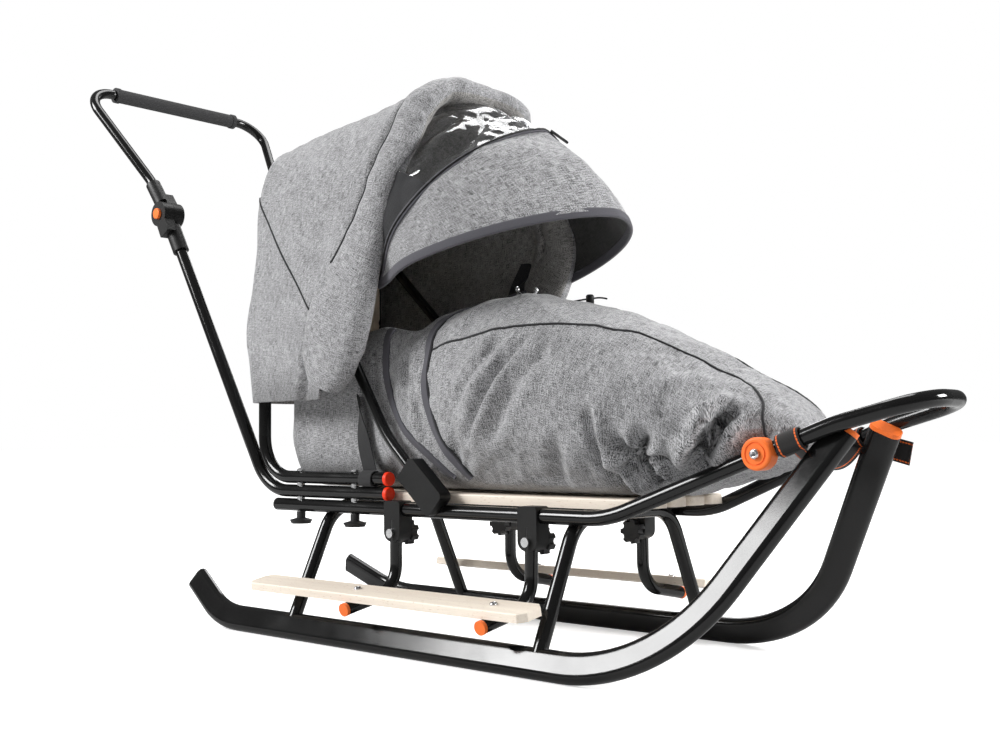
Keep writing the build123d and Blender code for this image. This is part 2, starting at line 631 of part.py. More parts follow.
with BuildLine(handle_plane) as handle_line:
    FilletPolyline(
        (-HINGE_HALF_WIDTH, handle_start),
        (-HINGE_HALF_WIDTH, HANDLE_KNEE),
        (-HANDLE_SPREAD, HANDLE_REACH),
        (HANDLE_SPREAD, HANDLE_REACH),
        (HINGE_HALF_WIDTH, HANDLE_KNEE),
        (HINGE_HALF_WIDTH, handle_start),
        radius=[HANDLE_KNEE_R, HANDLE_CORNER_R, HANDLE_CORNER_R, HANDLE_KNEE_R],
    )
handle_path = handle_line.wire()
with BuildPart() as handle_tube:
    sweep(round_section(handle_path, HANDLE_TUBE_D / 2), path=handle_path)
whole_pieces["handle_tube"] = handle_tube

grip_centre = handle_plane.from_local_coords((0, HANDLE_REACH, 0))
with BuildPart() as handle_grip:
    with Locations(grip_centre):
        Cylinder(GRIP_D / 2, GRIP_LENGTH, rotation=(90, 0, 0))
    for side in (-1, 1):
        with Locations(grip_centre + Vector(0, side * GRIP_LENGTH / 2, 0)):
            Cylinder(GRIP_COLLAR_D / 2, GRIP_COLLAR_LENGTH, rotation=(90, 0, 0))
    with Locations(grip_centre):
        Cylinder(HANDLE_TUBE_D / 2 + WELD_GAP, 2 * GRIP_LENGTH, rotation=(90, 0, 0), mode=Mode.SUBTRACT)
whole_pieces["handle_grip"] = handle_grip

# Braces, their tops cut to fit the backrest tube, and the sockets that hold their feet
brace_points = [Vector(x, -half_width, SEAT_HEIGHT + rise) for x, half_width, rise in BRACE_BENDS]
brace_points.append(Vector(BACK_X, -SEAT_HALF_WIDTH, SEAT_HEIGHT + BRACE_TOP_RISE))
brace_foot = brace_points[0]
brace_dir = (brace_points[1] - brace_foot).normalized()
with BuildLine() as brace_line:
    FilletPolyline(*brace_points, radius=BRACE_BEND_R)
brace_path = brace_line.wire()
with BuildPart() as brace:
    sweep(round_section(brace_path, BRACE_TUBE_D / 2), path=brace_path)
    sweep(round_section(back_path, frame_r + WELD_GAP), path=back_path, mode=Mode.SUBTRACT)
right_pieces["backrest_brace"] = brace

socket_centre = brace_foot + brace_dir * (SOCKET_LENGTH / 4)
with BuildPart() as brace_socket:
    with BuildSketch(Plane.XZ.offset(-brace_foot.Y + SOCKET_THICKNESS / 2)):
        with Locations((socket_centre.X, socket_centre.Z)):
            RectangleRounded(
                SOCKET_LENGTH, SOCKET_WIDTH, SOCKET_CORNER_R, rotation=degrees(atan(brace_dir.Z / brace_dir.X))
            )
    extrude(amount=-SOCKET_THICKNESS)
    with BuildSketch(Plane(origin=brace_foot - brace_dir * WELD_GAP, z_dir=brace_dir)):
        Circle(BRACE_TUBE_D / 2 + WELD_GAP)
    extrude(amount=SOCKET_LENGTH, mode=Mode.SUBTRACT)
    sweep(round_section(seat_path, seat_r + WELD_GAP), path=seat_path, mode=Mode.SUBTRACT)
right_pieces["brace_socket"] = brace_socket


def hood_section(x, half_width, top, corner_r, inset):
    """Return the hood's arch-shaped section at one x, drawn in by an inset."""
    with BuildSketch(Plane.YZ.offset(x)) as section:
        with BuildLine():
            FilletPolyline(
                (-half_width + inset, HOOD_HEM_HEIGHT - inset),
                (-half_width + inset, top - inset),
                (half_width - inset, top - inset),
                (half_width - inset, HOOD_HEM_HEIGHT - inset),
                radius=corner_r - inset,
            )
            Line((half_width - inset, HOOD_HEM_HEIGHT - inset), (-half_width + inset, HOOD_HEM_HEIGHT - inset))
        make_face()
    return section.sketch


# Hood shell: a tapered tunnel with a back wall, open below, its front edge shaped to the roll
hood_rear_x = BACK_X - frame_r - CLOTH_GAP - HOOD_WALL
hood_rear = (HOOD_REAR_HALF_WIDTH, HOOD_REAR_HEIGHT, HOOD_REAR_CORNER_R)
hood_front = (HOOD_FRONT_HALF_WIDTH, HOOD_FRONT_HEIGHT, HOOD_FRONT_CORNER_R)
with BuildPart() as hood_shell:
    loft([hood_section(hood_rear_x, *hood_rear, 0), hood_section(HOOD_FRONT_X, *hood_front, 0)], ruled=True)
    loft(
        [
            hood_section(hood_rear_x + HOOD_WALL, *hood_rear, HOOD_WALL),
            hood_section(HOOD_FRONT_X + HOOD_WALL, *hood_front, HOOD_WALL),
        ],
        ruled=True,
        mode=Mode.SUBTRACT,
    )
    with BuildSketch(Plane.XZ):
        with BuildLine():
            Polyline(
                (ROLL_TIP[0] - ROLL_D / 2, HOOD_HEM_HEIGHT - ROLL_D),
                ROLL_TIP,
                ROLL_KNEE,
                ROLL_TOP,
                (ROLL_TOP[0], HOOD_FRONT_HEIGHT + ROLL_D),
                (HOOD_FRONT_X + ROLL_D, HOOD_FRONT_HEIGHT + ROLL_D),
                (HOOD_FRONT_X + ROLL_D, HOOD_HEM_HEIGHT - ROLL_D),
                close=True,
            )
        make_face()
    extrude(amount=2 * HOOD_FRONT_HALF_WIDTH, both=True, mode=Mode.SUBTRACT)
    sweep(round_section(roll_path, ROLL_D / 2 + CLOTH_GAP), path=roll_path, mode=Mode.SUBTRACT)
    with Locations(roll_path @ 0, roll_path @ 1):
        Sphere(ROLL_D / 2 + CLOTH_GAP, mode=Mode.SUBTRACT)
whole_pieces["hood_shell"] = hood_shell

with BuildPart() as hood_roll:
    sweep(round_section(roll_path, ROLL_D / 2), path=roll_path)
    with Locations(roll_path @ 0, roll_path @ 1):
        Sphere(ROLL_D / 2)
whole_pieces["hood_roll"] = hood_roll


def power_arc(turn, across_power, along_power):
    """Return a point of a superellipse with both half sizes 1, at an angle."""
    across = copysign(abs(cos(turn)) ** (2 / across_power), cos(turn))
    along = copysign(abs(sin(turn)) ** (2 / along_power), sin(turn))
    return across, along


def fan_section(angle, reach_share, across_power, along_power, wall):
    """Return an arch-shaped strip in a plane through the visor's pivot line."""
    tilt = radians(angle)
    reach = VISOR_REACH * reach_share
    start = asin((VISOR_ROOT_LENGTH / reach) ** (along_power / 2))
    turns = [start + (pi - 2 * start) * i / (ARCH_POINTS - 1) for i in range(ARCH_POINTS)]
    arch = [power_arc(turn, across_power, along_power) for turn in turns]
    plane = Plane(
        origin=(VISOR_PIVOT_X, 0, VISOR_PIVOT_HEIGHT), x_dir=(0, 1, 0), z_dir=(sin(tilt), 0, -cos(tilt))
    )
    with BuildSketch(plane) as section:
        with BuildLine():
            outer = Spline(*[(VISOR_HALF_WIDTH * across, reach * along) for across, along in arch])
            inner = Spline(*[((VISOR_HALF_WIDTH - wall) * across, (reach - wall) * along) for across, along in arch])
            Line(outer @ 0, inner @ 0)
            Line(outer @ 1, inner @ 1)
        make_face()
    return section.sketch


with BuildPart() as visor:
    visor_arches = VISOR_ARCHES + (SEAM_ARCH,)
    loft([fan_section(*arch, VISOR_WALL) for arch in visor_arches], ruled=True)
whole_pieces["visor"] = visor

with BuildPart() as window:
    window_arches = ((SEAM_ARCH[0] + SEAM_PLAY, *SEAM_ARCH[1:]),) + WINDOW_ARCHES
    loft([fan_section(*arch, WINDOW_WALL) for arch in window_arches], ruled=True)
    sweep(round_section(roll_path, ROLL_D / 2 + CLOTH_GAP), path=roll_path, mode=Mode.SUBTRACT)
whole_pieces["window"] = window


def muff_section(x, half_width, bottom, top, low_power, high_power):
    """Return a section of the footmuff at one x, a superellipse with its own powers below and above."""
    middle = bottom + MUFF_WIDEST * (top - bottom)
    points = []
    for i in range(MUFF_POINTS):
        turn = 2 * pi * (i + 0.5) / MUFF_POINTS
        power, half_height = (high_power, top - middle) if turn < pi else (low_power, middle - bottom)
        across, along = power_arc(turn, power, power)
        points.append((half_width * across, middle + half_height * along))
    with BuildSketch(Plane.YZ.offset(x)) as section:
        with BuildLine():
            Spline(*points, periodic=True)
        make_face()
    return section.sketch


# Footmuff: lies on the slats, and its toe on the rising arms, with an open well for the child at its rear
muff_sections = []
for x, half_width, height, power in MUFF_BODY:
    muff_floor = slat_top + CLOTH_GAP + MUFF_SAG
    muff_sections.append(muff_section(x, half_width, muff_floor, muff_floor + height, MUFF_FLOOR_POWER, power))
for x, half_width, height, power in MUFF_TOE:
    muff_floor = arm_point(x).Z + seat_r + ARM_SLACK + CLOTH_GAP
    muff_sections.append(muff_section(x, half_width, muff_floor, muff_floor + height, MUFF_TOE_POWER, power))
with BuildPart() as footmuff:
    loft(muff_sections, ruled=True)
    with BuildSketch(Plane.XY.offset(slat_top + WELL_FLOOR)):
        with Locations(((WELL_REAR_X + WELL_FRONT_X) / 2, 0)):
            RectangleRounded(WELL_FRONT_X - WELL_REAR_X, 2 * WELL_HALF_WIDTH, WELL_CORNER_R)
    extrude(until=Until.LAST, mode=Mode.SUBTRACT)
whole_pieces["footmuff"] = footmuff

pad_rear_x = BACK_X + frame_r + CLOTH_GAP
pad_bottom = slat_top + PAD_SLAT_GAP
with BuildPart() as backrest_pad:
    with BuildSketch(Plane.YZ.offset(pad_rear_x)):
        with Locations((0, (pad_bottom + BACK_HEIGHT) / 2)):
            RectangleRounded(2 * PAD_HALF_WIDTH, BACK_HEIGHT - pad_bottom, PAD_HALF_WIDTH / 2)
    extrude(amount=PAD_THICKNESS)
    fillet(backrest_pad.edges().group_by(Axis.X)[-1], radius=PAD_EDGE_R)
whole_pieces["backrest_pad"] = backrest_pad

# Side straps, looped round the backrest tube
strap_in_r = frame_r + CLOTH_GAP
strap_y = SEAT_HALF_WIDTH - STRAP_INSET
strap_tilt = radians(STRAP_LEAN)
with BuildPart() as side_strap:
    with BuildSketch(Plane.YZ.offset(STRAP_X - STRAP_WIDTH / 2)):
        with Locations((-SEAT_HALF_WIDTH, back_z)):
            Circle(strap_in_r + STRAP_THICKNESS)
            Circle(strap_in_r, mode=Mode.SUBTRACT)
    extrude(amount=STRAP_WIDTH)
    strap_mid = back_z + strap_in_r + STRAP_LENGTH / 2 * cos(strap_tilt)
    with BuildSketch(Plane.XZ.offset(strap_y)):
        with Locations((STRAP_X - STRAP_LENGTH / 2 * sin(strap_tilt), strap_mid)):
            Rectangle(STRAP_WIDTH, STRAP_LENGTH, rotation=STRAP_LEAN)
    extrude(amount=-STRAP_THICKNESS)
    with Locations((STRAP_X, -SEAT_HALF_WIDTH, back_z)):
        Cylinder(strap_in_r, 4 * STRAP_WIDTH, rotation=(0, 90, 0), mode=Mode.SUBTRACT)
right_pieces["side_strap"] = side_strap

# Tow strap: a loop round each arm and a slack band between them
tow_arm = arm_point(TOW_X)
tow_in_r = seat_r + ARM_SLACK + CLOTH_GAP
tow_start = Vector(TOW_X, tow_arm.Y + tow_in_r, tow_arm.Z)
with BuildPart() as tow_strap:
    with BuildSketch(Plane.YZ.offset(TOW_X - TOW_WIDTH / 2)):
        with BuildLine():
            outer_sag = ThreePointArc(
                (tow_start.Y, tow_start.Z), (0, tow_start.Z - TOW_SAG), (-tow_start.Y, tow_start.Z)
            )
            offset(outer_sag, amount=TOW_THICKNESS, side=Side.RIGHT)
        make_face()
    extrude(amount=TOW_WIDTH)
    for side in (1, -1):
        arm_axis = Vector(*[a if i != 1 else side * a for i, a in enumerate(knee - arm_foot)])
        ring_centre = Vector(tow_arm.X, side * tow_arm.Y, tow_arm.Z) - arm_axis.normalized() * TOW_WIDTH / 2
        with BuildSketch(Plane(origin=ring_centre, z_dir=arm_axis)):
            Circle(tow_in_r + TOW_THICKNESS)
        extrude(amount=TOW_WIDTH)
    sweep(round_section(seat_path, seat_r + CLOTH_GAP), path=seat_path, mode=Mode.SUBTRACT)
whole_pieces["tow_strap"] = tow_strap

# Round strap stops on the outer sides of the arms
disc_arm = arm_point(DISC_X)
with BuildPart() as strap_disc:
    with BuildSketch(Plane.XZ.offset(-disc_arm.Y)):
        with Locations((DISC_X, disc_arm.Z)):
            Circle(DISC_D / 2)
    extrude(amount=seat_r + DISC_DEPTH)
    fillet(strap_disc.edges().group_by(Axis.Y)[0], radius=DISC_DEPTH / 3)
    with BuildSketch(Plane.XZ.offset(-disc_arm.Y + seat_r + DISC_DEPTH)):
        with Locations((DISC_X, disc_arm.Z)):
            Circle(DISC_GROOVE_R)
            Circle(DISC_GROOVE_R - DISC_GROOVE_WIDTH, mode=Mode.SUBTRACT)
    extrude(amount=-DISC_GROOVE_DEPTH, mode=Mode.SUBTRACT)
    sweep(round_section(seat_path, seat_r + WELD_GAP), path=seat_path, mode=Mode.SUBTRACT)
right_pieces["strap_disc"] = strap_disc

# Label and write every piece, the right-hand ones with their mirror twins
for name, piece in whole_pieces.items():
    piece.part.label = name
    export_step(piece.part, f"parts/{name}.step")
for name, piece in right_pieces.items():
    with BuildPart() as twin:
        mirror(piece.part, about=Plane.XZ)
    piece.part.label = f"{name}_right"
    twin.part.label = f"{name}_left"
    export_step(piece.part, f"parts/{name}_right.step")
    export_step(twin.part, f"parts/{name}_left.step")
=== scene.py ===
"""A child's push sled in a plain white studio.

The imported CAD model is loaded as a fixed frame. Its steel, wooden and plastic pieces get finishes, and its
plain soft solids are replaced by a sewn hood, visor, window, footmuff, pad and straps. Everything is in
metres in the CAD frame: +X is forward, +Y is the sled's left and +Z is up.
"""

from __future__ import annotations

import json
import logging
import math
from dataclasses import dataclass, field
from enum import Enum

import bmesh
import bpy
import numpy as np
from mathutils import Matrix, Vector

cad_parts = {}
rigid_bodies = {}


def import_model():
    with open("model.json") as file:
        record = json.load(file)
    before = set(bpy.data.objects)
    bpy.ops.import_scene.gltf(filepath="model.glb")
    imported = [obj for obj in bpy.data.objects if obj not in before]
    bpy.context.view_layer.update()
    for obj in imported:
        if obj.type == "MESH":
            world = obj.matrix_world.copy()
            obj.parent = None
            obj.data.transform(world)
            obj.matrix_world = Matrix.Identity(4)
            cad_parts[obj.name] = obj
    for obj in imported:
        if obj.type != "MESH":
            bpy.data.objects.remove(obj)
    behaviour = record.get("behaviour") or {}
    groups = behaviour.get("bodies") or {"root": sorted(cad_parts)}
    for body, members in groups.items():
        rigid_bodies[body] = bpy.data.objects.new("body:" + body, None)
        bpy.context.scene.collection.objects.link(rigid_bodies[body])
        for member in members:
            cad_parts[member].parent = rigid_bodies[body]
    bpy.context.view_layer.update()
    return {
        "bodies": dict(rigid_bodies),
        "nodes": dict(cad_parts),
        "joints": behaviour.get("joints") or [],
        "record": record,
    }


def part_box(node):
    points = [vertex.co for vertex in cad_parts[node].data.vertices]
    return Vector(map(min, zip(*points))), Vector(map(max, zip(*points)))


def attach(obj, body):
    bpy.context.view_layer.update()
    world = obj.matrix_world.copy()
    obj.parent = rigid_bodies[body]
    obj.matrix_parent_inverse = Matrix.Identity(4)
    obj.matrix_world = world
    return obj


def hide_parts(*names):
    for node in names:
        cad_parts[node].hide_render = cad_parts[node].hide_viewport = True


LOG = logging.getLogger("push_sled")
Array = np.ndarray
Colour = tuple[float, float, float]
Place = tuple[float, float, float]
Pairs = tuple[tuple[float, float], ...]
Triples = tuple[tuple[float, float, float], ...]
Quad = tuple[float, float, float, float]
Piece = bpy.types.Object
Socket = bpy.types.NodeSocket
FRAME_BODY = "root"
STUFFING_PRESSURE = 3.0
STUFFING_FRAMES = 15


class Side(Enum):
    """The two sides of the sled, with the sign of Y there."""

    RIGHT = -1.0
    LEFT = 1.0


# Shapes as arrays


def unit(vectors: Array) -> Array:
    """Return vectors divided by their lengths."""
    return vectors / np.maximum(np.linalg.norm(vectors, axis=-1, keepdims=True), 1e-12)


def smoothstep(value: Array) -> Array:
    """Return 3t^2 - 2t^3 of a value held between 0 and 1."""
    t = np.clip(value, 0.0, 1.0)
    return t * t * (3.0 - 2.0 * t)


def smooth_table(at: Array, knots: Array, values: Array) -> Array:
    """Read a table with Hermite cubics whose slopes are the neighbours' mean slopes.

    Args:
        at: where to read it.
        knots: rising positions of the table's entries.
        values: the entries.

    Returns:
        The value at each position, held at the ends.
    """
    knots, values = np.asarray(knots, float), np.asarray(values, float)
    slopes = np.gradient(values, knots)
    low = np.clip(np.searchsorted(knots, at) - 1, 0, len(knots) - 2)
    step = knots[low + 1] - knots[low]
    t = np.clip((at - knots[low]) / step, 0.0, 1.0)
    start = (1 + 2 * t) * (1 - t) ** 2 * values[low] + t * (1 - t) ** 2 * step * slopes[low]
    end = t * t * (3 - 2 * t) * values[low + 1] + t * t * (t - 1) * step * slopes[low + 1]
    return start + end


def smooth_path(points: Array, count: int) -> Array:
    """Return evenly spaced points on the cubic curve through a few points."""
    points = np.asarray(points, float)
    chord = np.r_[0.0, np.cumsum(np.linalg.norm(np.diff(points, axis=0), axis=1))]
    fine = np.linspace(0.0, chord[-1], 40 * len(points))
    curve = np.stack([smooth_table(fine, chord, column) for column in points.T], axis=1)
    length = np.r_[0.0, np.cumsum(np.linalg.norm(np.diff(curve, axis=0), axis=1))]
    even = np.linspace(0.0, length[-1], count)
    return np.stack([np.interp(even, length, column) for column in curve.T], axis=1)


def power_circle(angle: Array, power: Array | float) -> tuple[Array, Array]:
    """Return a superellipse's two coordinates: the signed 2/power-th powers of cosine and sine."""
    c, s = np.cos(angle), np.sin(angle)
    return np.sign(c) * np.abs(c) ** (2 / power), np.sign(s) * np.abs(s) ** (2 / power)


def ripple(points: Array, scale: float, seed: int) -> Array:
    """Return soft waves between -1 and 1: the mean of sines along six seeded directions in space.

    Args:
        points: positions, with X, Y and Z last.
        scale: length of the waves in metres.
        seed: picks the directions and phases.
    """
    rng = np.random.default_rng(seed)
    directions = unit(rng.normal(size=(6, 3))) * (2 * math.pi / scale) * rng.uniform(0.7, 1.5, (6, 1))
    phases = rng.uniform(0, 2 * math.pi, 6)
    return np.sin(points @ directions.T + phases).mean(axis=-1) * 1.6


@dataclass
class Skin:
    """A surface sampled on a grid: rows follow one parameter and columns the other.

    Attributes:
        points: positions as rows by columns by 3.
        wraps: whether the last column meets the first.
        capped: whether the first and last rows are closed by fans.
        across: each column's place on the cloth, where it isn't the length along the row.
    """

    points: Array
    wraps: bool = False
    capped: bool = False
    across: Array | None = None

    def normals(self) -> Array:
        """Return unit normals, the cross product of the grid's two directions, turned to face outwards."""
        down = np.gradient(self.points, axis=0)
        if self.wraps:
            ring = np.concatenate([self.points[:, -1:], self.points, self.points[:, :1]], axis=1)
            across = (ring[:, 2:] - ring[:, :-2]) / 2
        else:
            across = np.gradient(self.points, axis=1)
        found = np.cross(down, across)
        out = (found * (self.points - self.points.mean(axis=(0, 1)))).sum()
        return unit(found) * (1.0 if out >= 0 else -1.0)

    def faces_out(self) -> bool:
        """Return whether the grid's own order of faces points outwards."""
        down, across = np.gradient(self.points, axis=0), np.gradient(self.points, axis=1)
        return (np.cross(down, across) * (self.points - self.points.mean(axis=(0, 1)))).sum() >= 0

    def at(self, row: Array, column: Array) -> tuple[Array, Array]:
        """Read the surface between its grid points by bilinear weights.

        Args:
            row: row numbers, with fractions.
            column: column numbers, with fractions.

        Returns:
            The positions and unit normals there.
        """
        rows, columns = self.points.shape[:2]
        row = np.clip(row, 0, rows - 1.001)
        i, j = np.floor(row).astype(int), np.floor(column).astype(int)
        a, b = (row - i)[:, None], (column - j)[:, None]
        if self.wraps:
            j0, j1 = j % columns, (j + 1) % columns
        else:
            j0, j1 = np.clip(j, 0, columns - 1), np.clip(j + 1, 0, columns - 1)
        found = []
        for grid in (self.points, self.normals()):
            low = grid[i, j0] * (1 - b) + grid[i, j1] * b
            high = grid[i + 1, j0] * (1 - b) + grid[i + 1, j1] * b
            found.append(low * (1 - a) + high * a)
        return found[0], unit(found[1])

    def on_side(self, x: Array, z: Array, side: Side) -> tuple[Array, Array]:
        """Drop points along Y onto one side of the surface, by the tangent plane at the nearest grid point.

        Args:
            x: forward places of the points.
            z: heights of the points.
            side: the side they are dropped onto.

        Returns:
            The positions and unit normals there.
        """
        points, normals = self.points.reshape(-1, 3), self.normals().reshape(-1, 3)
        keep = (points[:, 1] * side.value > 0.02) & (normals[:, 1] * side.value > 0.15)
        points, normals = points[keep], normals[keep]
        gap = (points[None, :, 0] - x[:, None]) ** 2 + (points[None, :, 2] - z[:, None]) ** 2
        near = gap.argmin(axis=1)
        base, normal = points[near], normals[near]
        y = base[:, 1] - (normal[:, 0] * (x - base[:, 0]) + normal[:, 2] * (z - base[:, 2])) / normal[:, 1]
        return np.stack([x, y, z], axis=1), normal

    def lengths(self) -> tuple[Array, Array]:
        """Return each grid point's place on the cloth, as lengths across from the middle column and along."""
        points = self.points
        if self.wraps:
            points = np.concatenate([points, points[:, :1]], axis=1)
        along = np.zeros(points.shape[:2])
        along[1:] = np.cumsum(np.linalg.norm(np.diff(points, axis=0), axis=2), axis=0)
        along[:] = along.mean(axis=1, keepdims=True)
        if self.across is not None:
            across = np.concatenate([self.across, self.across[:1]]) if self.wraps else self.across
            return np.broadcast_to(across, along.shape), along
        across = np.zeros(points.shape[:2])
        across[:, 1:] = np.cumsum(np.linalg.norm(np.diff(points, axis=1), axis=2), axis=1)
        return across - across[:, across.shape[1] // 2][:, None], along

    def mesh(self, name: str) -> bpy.types.Mesh:
        """Return the surface as a mesh of quads with its cloth lengths as UV, in metres, and closed seams."""
        rows, columns = self.points.shape[:2]
        i = np.arange(rows - 1)[:, None]
        j = np.arange(columns if self.wraps else columns - 1)[None]
        k = j + 1
        corners = [(i, j), (i + 1, j), (i + 1, k), (i, k)]
        if not self.faces_out():
            corners.reverse()
        across, along = self.lengths()
        quads = np.stack([r * columns + c % columns for r, c in corners], axis=-1).reshape(-1, 4)
        uv = np.stack([np.stack([across[r, c], along[r, c]], -1) for r, c in corners], axis=-2).reshape(-1, 2)
        vertices, faces, uvs = self.points.reshape(-1, 3), quads.tolist(), [uv]
        if self.capped:
            for row in (0, rows - 1):
                ring = row * columns + np.arange(columns)
                hub = np.full(columns, len(vertices))
                vertices = np.concatenate([vertices, self.points[row].mean(axis=0)[None]])
                turn = (row == 0) == self.faces_out()
                after = np.roll(ring, -1)
                fan = [hub, after, ring] if turn else [hub, ring, after]
                faces += np.stack(fan, axis=1).tolist()
                uvs.append(np.repeat(np.stack([across[row, :columns], along[row, :columns]], -1), 3, axis=0))
        mesh = bpy.data.meshes.new(name)
        mesh.from_pydata(vertices.tolist(), [], faces)
        layer = mesh.uv_layers.new(name="cloth")
        layer.data.foreach_set("uv", np.concatenate(uvs).astype(np.float32).ravel())
        mesh.polygons.foreach_set("use_smooth", np.ones(len(faces), bool))
        mesh.update()
        return mesh


def sweep(path: Array, up: Array, profile: Array, scale: Array | float = 1.0) -> Skin:
    """Carry a closed profile along a path.

    A point is the path's point, plus the profile's first number along the side direction, plus its second
    along the up direction, both times the scale.

    Args:
        path: points of the path.
        up: the profile's second direction at each point.
        profile: the closed outline, as pairs.
        scale: size of the profile at each point.

    Returns:
        A closed, capped skin whose rows follow the path.
    """
    tangent = unit(np.gradient(path, axis=0))
    side = unit(np.cross(tangent, up))
    up = np.cross(side, tangent)
    size = np.broadcast_to(np.asarray(scale, float), len(path))[:, None, None]
    offset = profile[None, :, :1] * side[:, None] + profile[None, :, 1:] * up[:, None]
    return Skin(path[:, None] + offset * size, wraps=True, capped=True, across=profile[:, 0])


def round_profile(radius: float, sides: int = 12) -> Array:
    """Return a circle as pairs."""
    angle = np.arange(sides) / sides * 2 * math.pi
    return radius * np.stack([np.cos(angle), np.sin(angle)], axis=1)


def band_profile(width: float, thickness: float, sides: int = 28, power: float = 7.0) -> Array:
    """Return a flat band's outline with rounded edges, a superellipse of a high power."""
    c, s = power_circle(np.arange(sides) / sides * 2 * math.pi, power)
    return np.stack([c * width / 2, s * thickness / 2], axis=1)


def turned(outline: Array, centre: Array, axis: Array, sides: int = 32, hexagon: int = 0) -> Skin:
    """Turn an outline about an axis.

    Args:
        outline: pairs of radius and height along the axis.
        centre: where height is 0.
        axis: direction of the height.
        sides: how many columns go round.
        hexagon: how many of the last outline points keep to a hexagon instead of a circle.

    Returns:
        A closed, capped skin.
    """
    outline, axis = np.asarray(outline, float), unit(np.asarray(axis, float))
    first = unit(np.cross(axis, (0.3, 0.5, 0.81)))
    second = np.cross(axis, first)
    angle = np.arange(sides) / sides * 2 * math.pi
    ring = np.cos(angle)[:, None] * first + np.sin(angle)[:, None] * second
    reach = np.repeat(outline[:, :1], sides, axis=1)
    if hexagon:
        third = math.pi / 3
        reach[-hexagon:] *= math.cos(third / 2) / np.cos((angle + third / 2) % third - third / 2)
    points = np.asarray(centre) + reach[..., None] * ring[None] + outline[:, 1, None, None] * axis
    return Skin(points, wraps=True, capped=True)


# Finishes


class Graph:
    """A node tree being put together."""

    def __init__(self, tree: bpy.types.NodeTree) -> None:
        """Start with a tree as it is."""
        self.tree = tree

    def node(self, kind: str, links: dict | None = None, **settings: object) -> bpy.types.Node:
        """Add a node.

        Args:
            kind: Blender's name of the node type.
            links: what goes into each input, by name or number: a socket, or a constant.
            settings: attributes of the node.

        Returns:
            The new node.
        """
        made = self.tree.nodes.new(kind)
        for name, value in settings.items():
            setattr(made, name, value)
        for name, value in (links or {}).items():
            if isinstance(value, Socket):
                self.tree.links.new(value, made.inputs[name])
            else:
                made.inputs[name].default_value = value
        return made

    def math(self, operation: str, *values: object) -> Socket:
        """Return the result of a Math node on sockets or numbers."""
        return self.node("ShaderNodeMath", dict(enumerate(values)), operation=operation).outputs[0]

    def split(self, vector: Socket) -> bpy.types.NodeOutputs:
        """Return a vector's X, Y and Z."""
        return self.node("ShaderNodeSeparateXYZ", {0: vector}).outputs

    def remap(self, value: Socket, source: tuple[float, float], target: tuple[float, float]) -> Socket:
        """Return a value moved from one range to another and held inside it."""
        names = ("From Min", "From Max", "To Min", "To Max")
        links = {"Value": value, **dict(zip(names, (*source, *target)))}
        return self.node("ShaderNodeMapRange", links).outputs["Result"]

    def blend(self, share: object, first: object, second: object) -> Socket:
        """Return a mix of two colours by a share."""
        made = self.node("ShaderNodeMix", data_type="RGBA")
        for index, value in ((0, share), (6, first), (7, second)):
            if isinstance(value, Socket):
                self.tree.links.new(value, made.inputs[index])
            else:
                made.inputs[index].default_value = value if index == 0 else (*value, 1.0)
        return made.outputs[2]


class Shader(Graph):
    """A Principled material being put together from nodes."""

    def __init__(self, name: str) -> None:
        """Start a material with a plain Principled shader."""
        self.material = bpy.data.materials.new(name)
        self.material.use_nodes = True
        super().__init__(self.material.node_tree)
        self.bsdf = self.tree.nodes["Principled BSDF"]

    def constant(self, **sockets: float | tuple) -> None:
        """Set numbers and colours on the shader's own sockets, named with _ for a space."""
        for name, value in sockets.items():
            self.bsdf.inputs[name.replace("_", " ")].default_value = value

    def place(self, scale: Place, uv: bool = False) -> Socket:
        """Return Object or UV coordinates times a scale for each direction."""
        source = self.node("ShaderNodeTexCoord").outputs["UV" if uv else "Object"]
        return self.node("ShaderNodeMapping", {"Vector": source, "Scale": scale}).outputs["Vector"]

    def noise(self, place: Socket, detail: float = 2.0, roughness: float = 0.5) -> Socket:
        """Return a noise pattern read at a place."""
        links = {"Vector": place, "Scale": 1.0, "Detail": detail, "Roughness": roughness}
        return self.node("ShaderNodeTexNoise", links).outputs["Fac"]

    def bump(self, height: Socket, distance: float, strength: float = 1.0) -> None:
        """Press a height pattern into the surface."""
        links = {"Height": height, "Distance": distance, "Strength": strength}
        self.feed("Normal", self.node("ShaderNodeBump", links).outputs["Normal"])

    def feed(self, socket: str, value: Socket) -> None:
        """Link a pattern to one of the shader's sockets."""
        self.tree.links.new(value, self.bsdf.inputs[socket])


@dataclass(frozen=True)
class Finish:
    """A surface finish: a name, the record's slot and a main colour."""

    name: str
    slot: str
    colour: Colour

    def material(self) -> bpy.types.Material:
        """Return the finish's material, made once."""
        found = bpy.data.materials.get(self.name)
        return found or self.make(Shader(self.name)).material

    def make(self, shader: Shader) -> Shader:
        """Give the shader its nodes."""
        raise NotImplementedError

    def shade(self, factor: float) -> Colour:
        """Return the main colour made darker or lighter."""
        return tuple(min(1.0, channel * factor) for channel in self.colour)


@dataclass(frozen=True)
class PowderCoat(Finish):
    """Satin powder coat: a fine orange-peel skin with faint dull patches."""

    roughness: float = 0.14

    def make(self, shader: Shader) -> Shader:
        """Give the shader its nodes."""
        patches = shader.noise(shader.place((14, 14, 14)), 4)
        peel = shader.noise(shader.place((900, 900, 900)), 2)
        shader.feed("Base Color", shader.blend(patches, self.shade(0.75), self.shade(1.35)))
        dull = (self.roughness - 0.05, self.roughness + 0.06)
        shader.feed("Roughness", shader.remap(patches, (0.3, 0.7), dull))
        shader.constant(Specular_IOR_Level=0.40)
        shader.bump(peel, 0.0002, 0.15)
        return shader


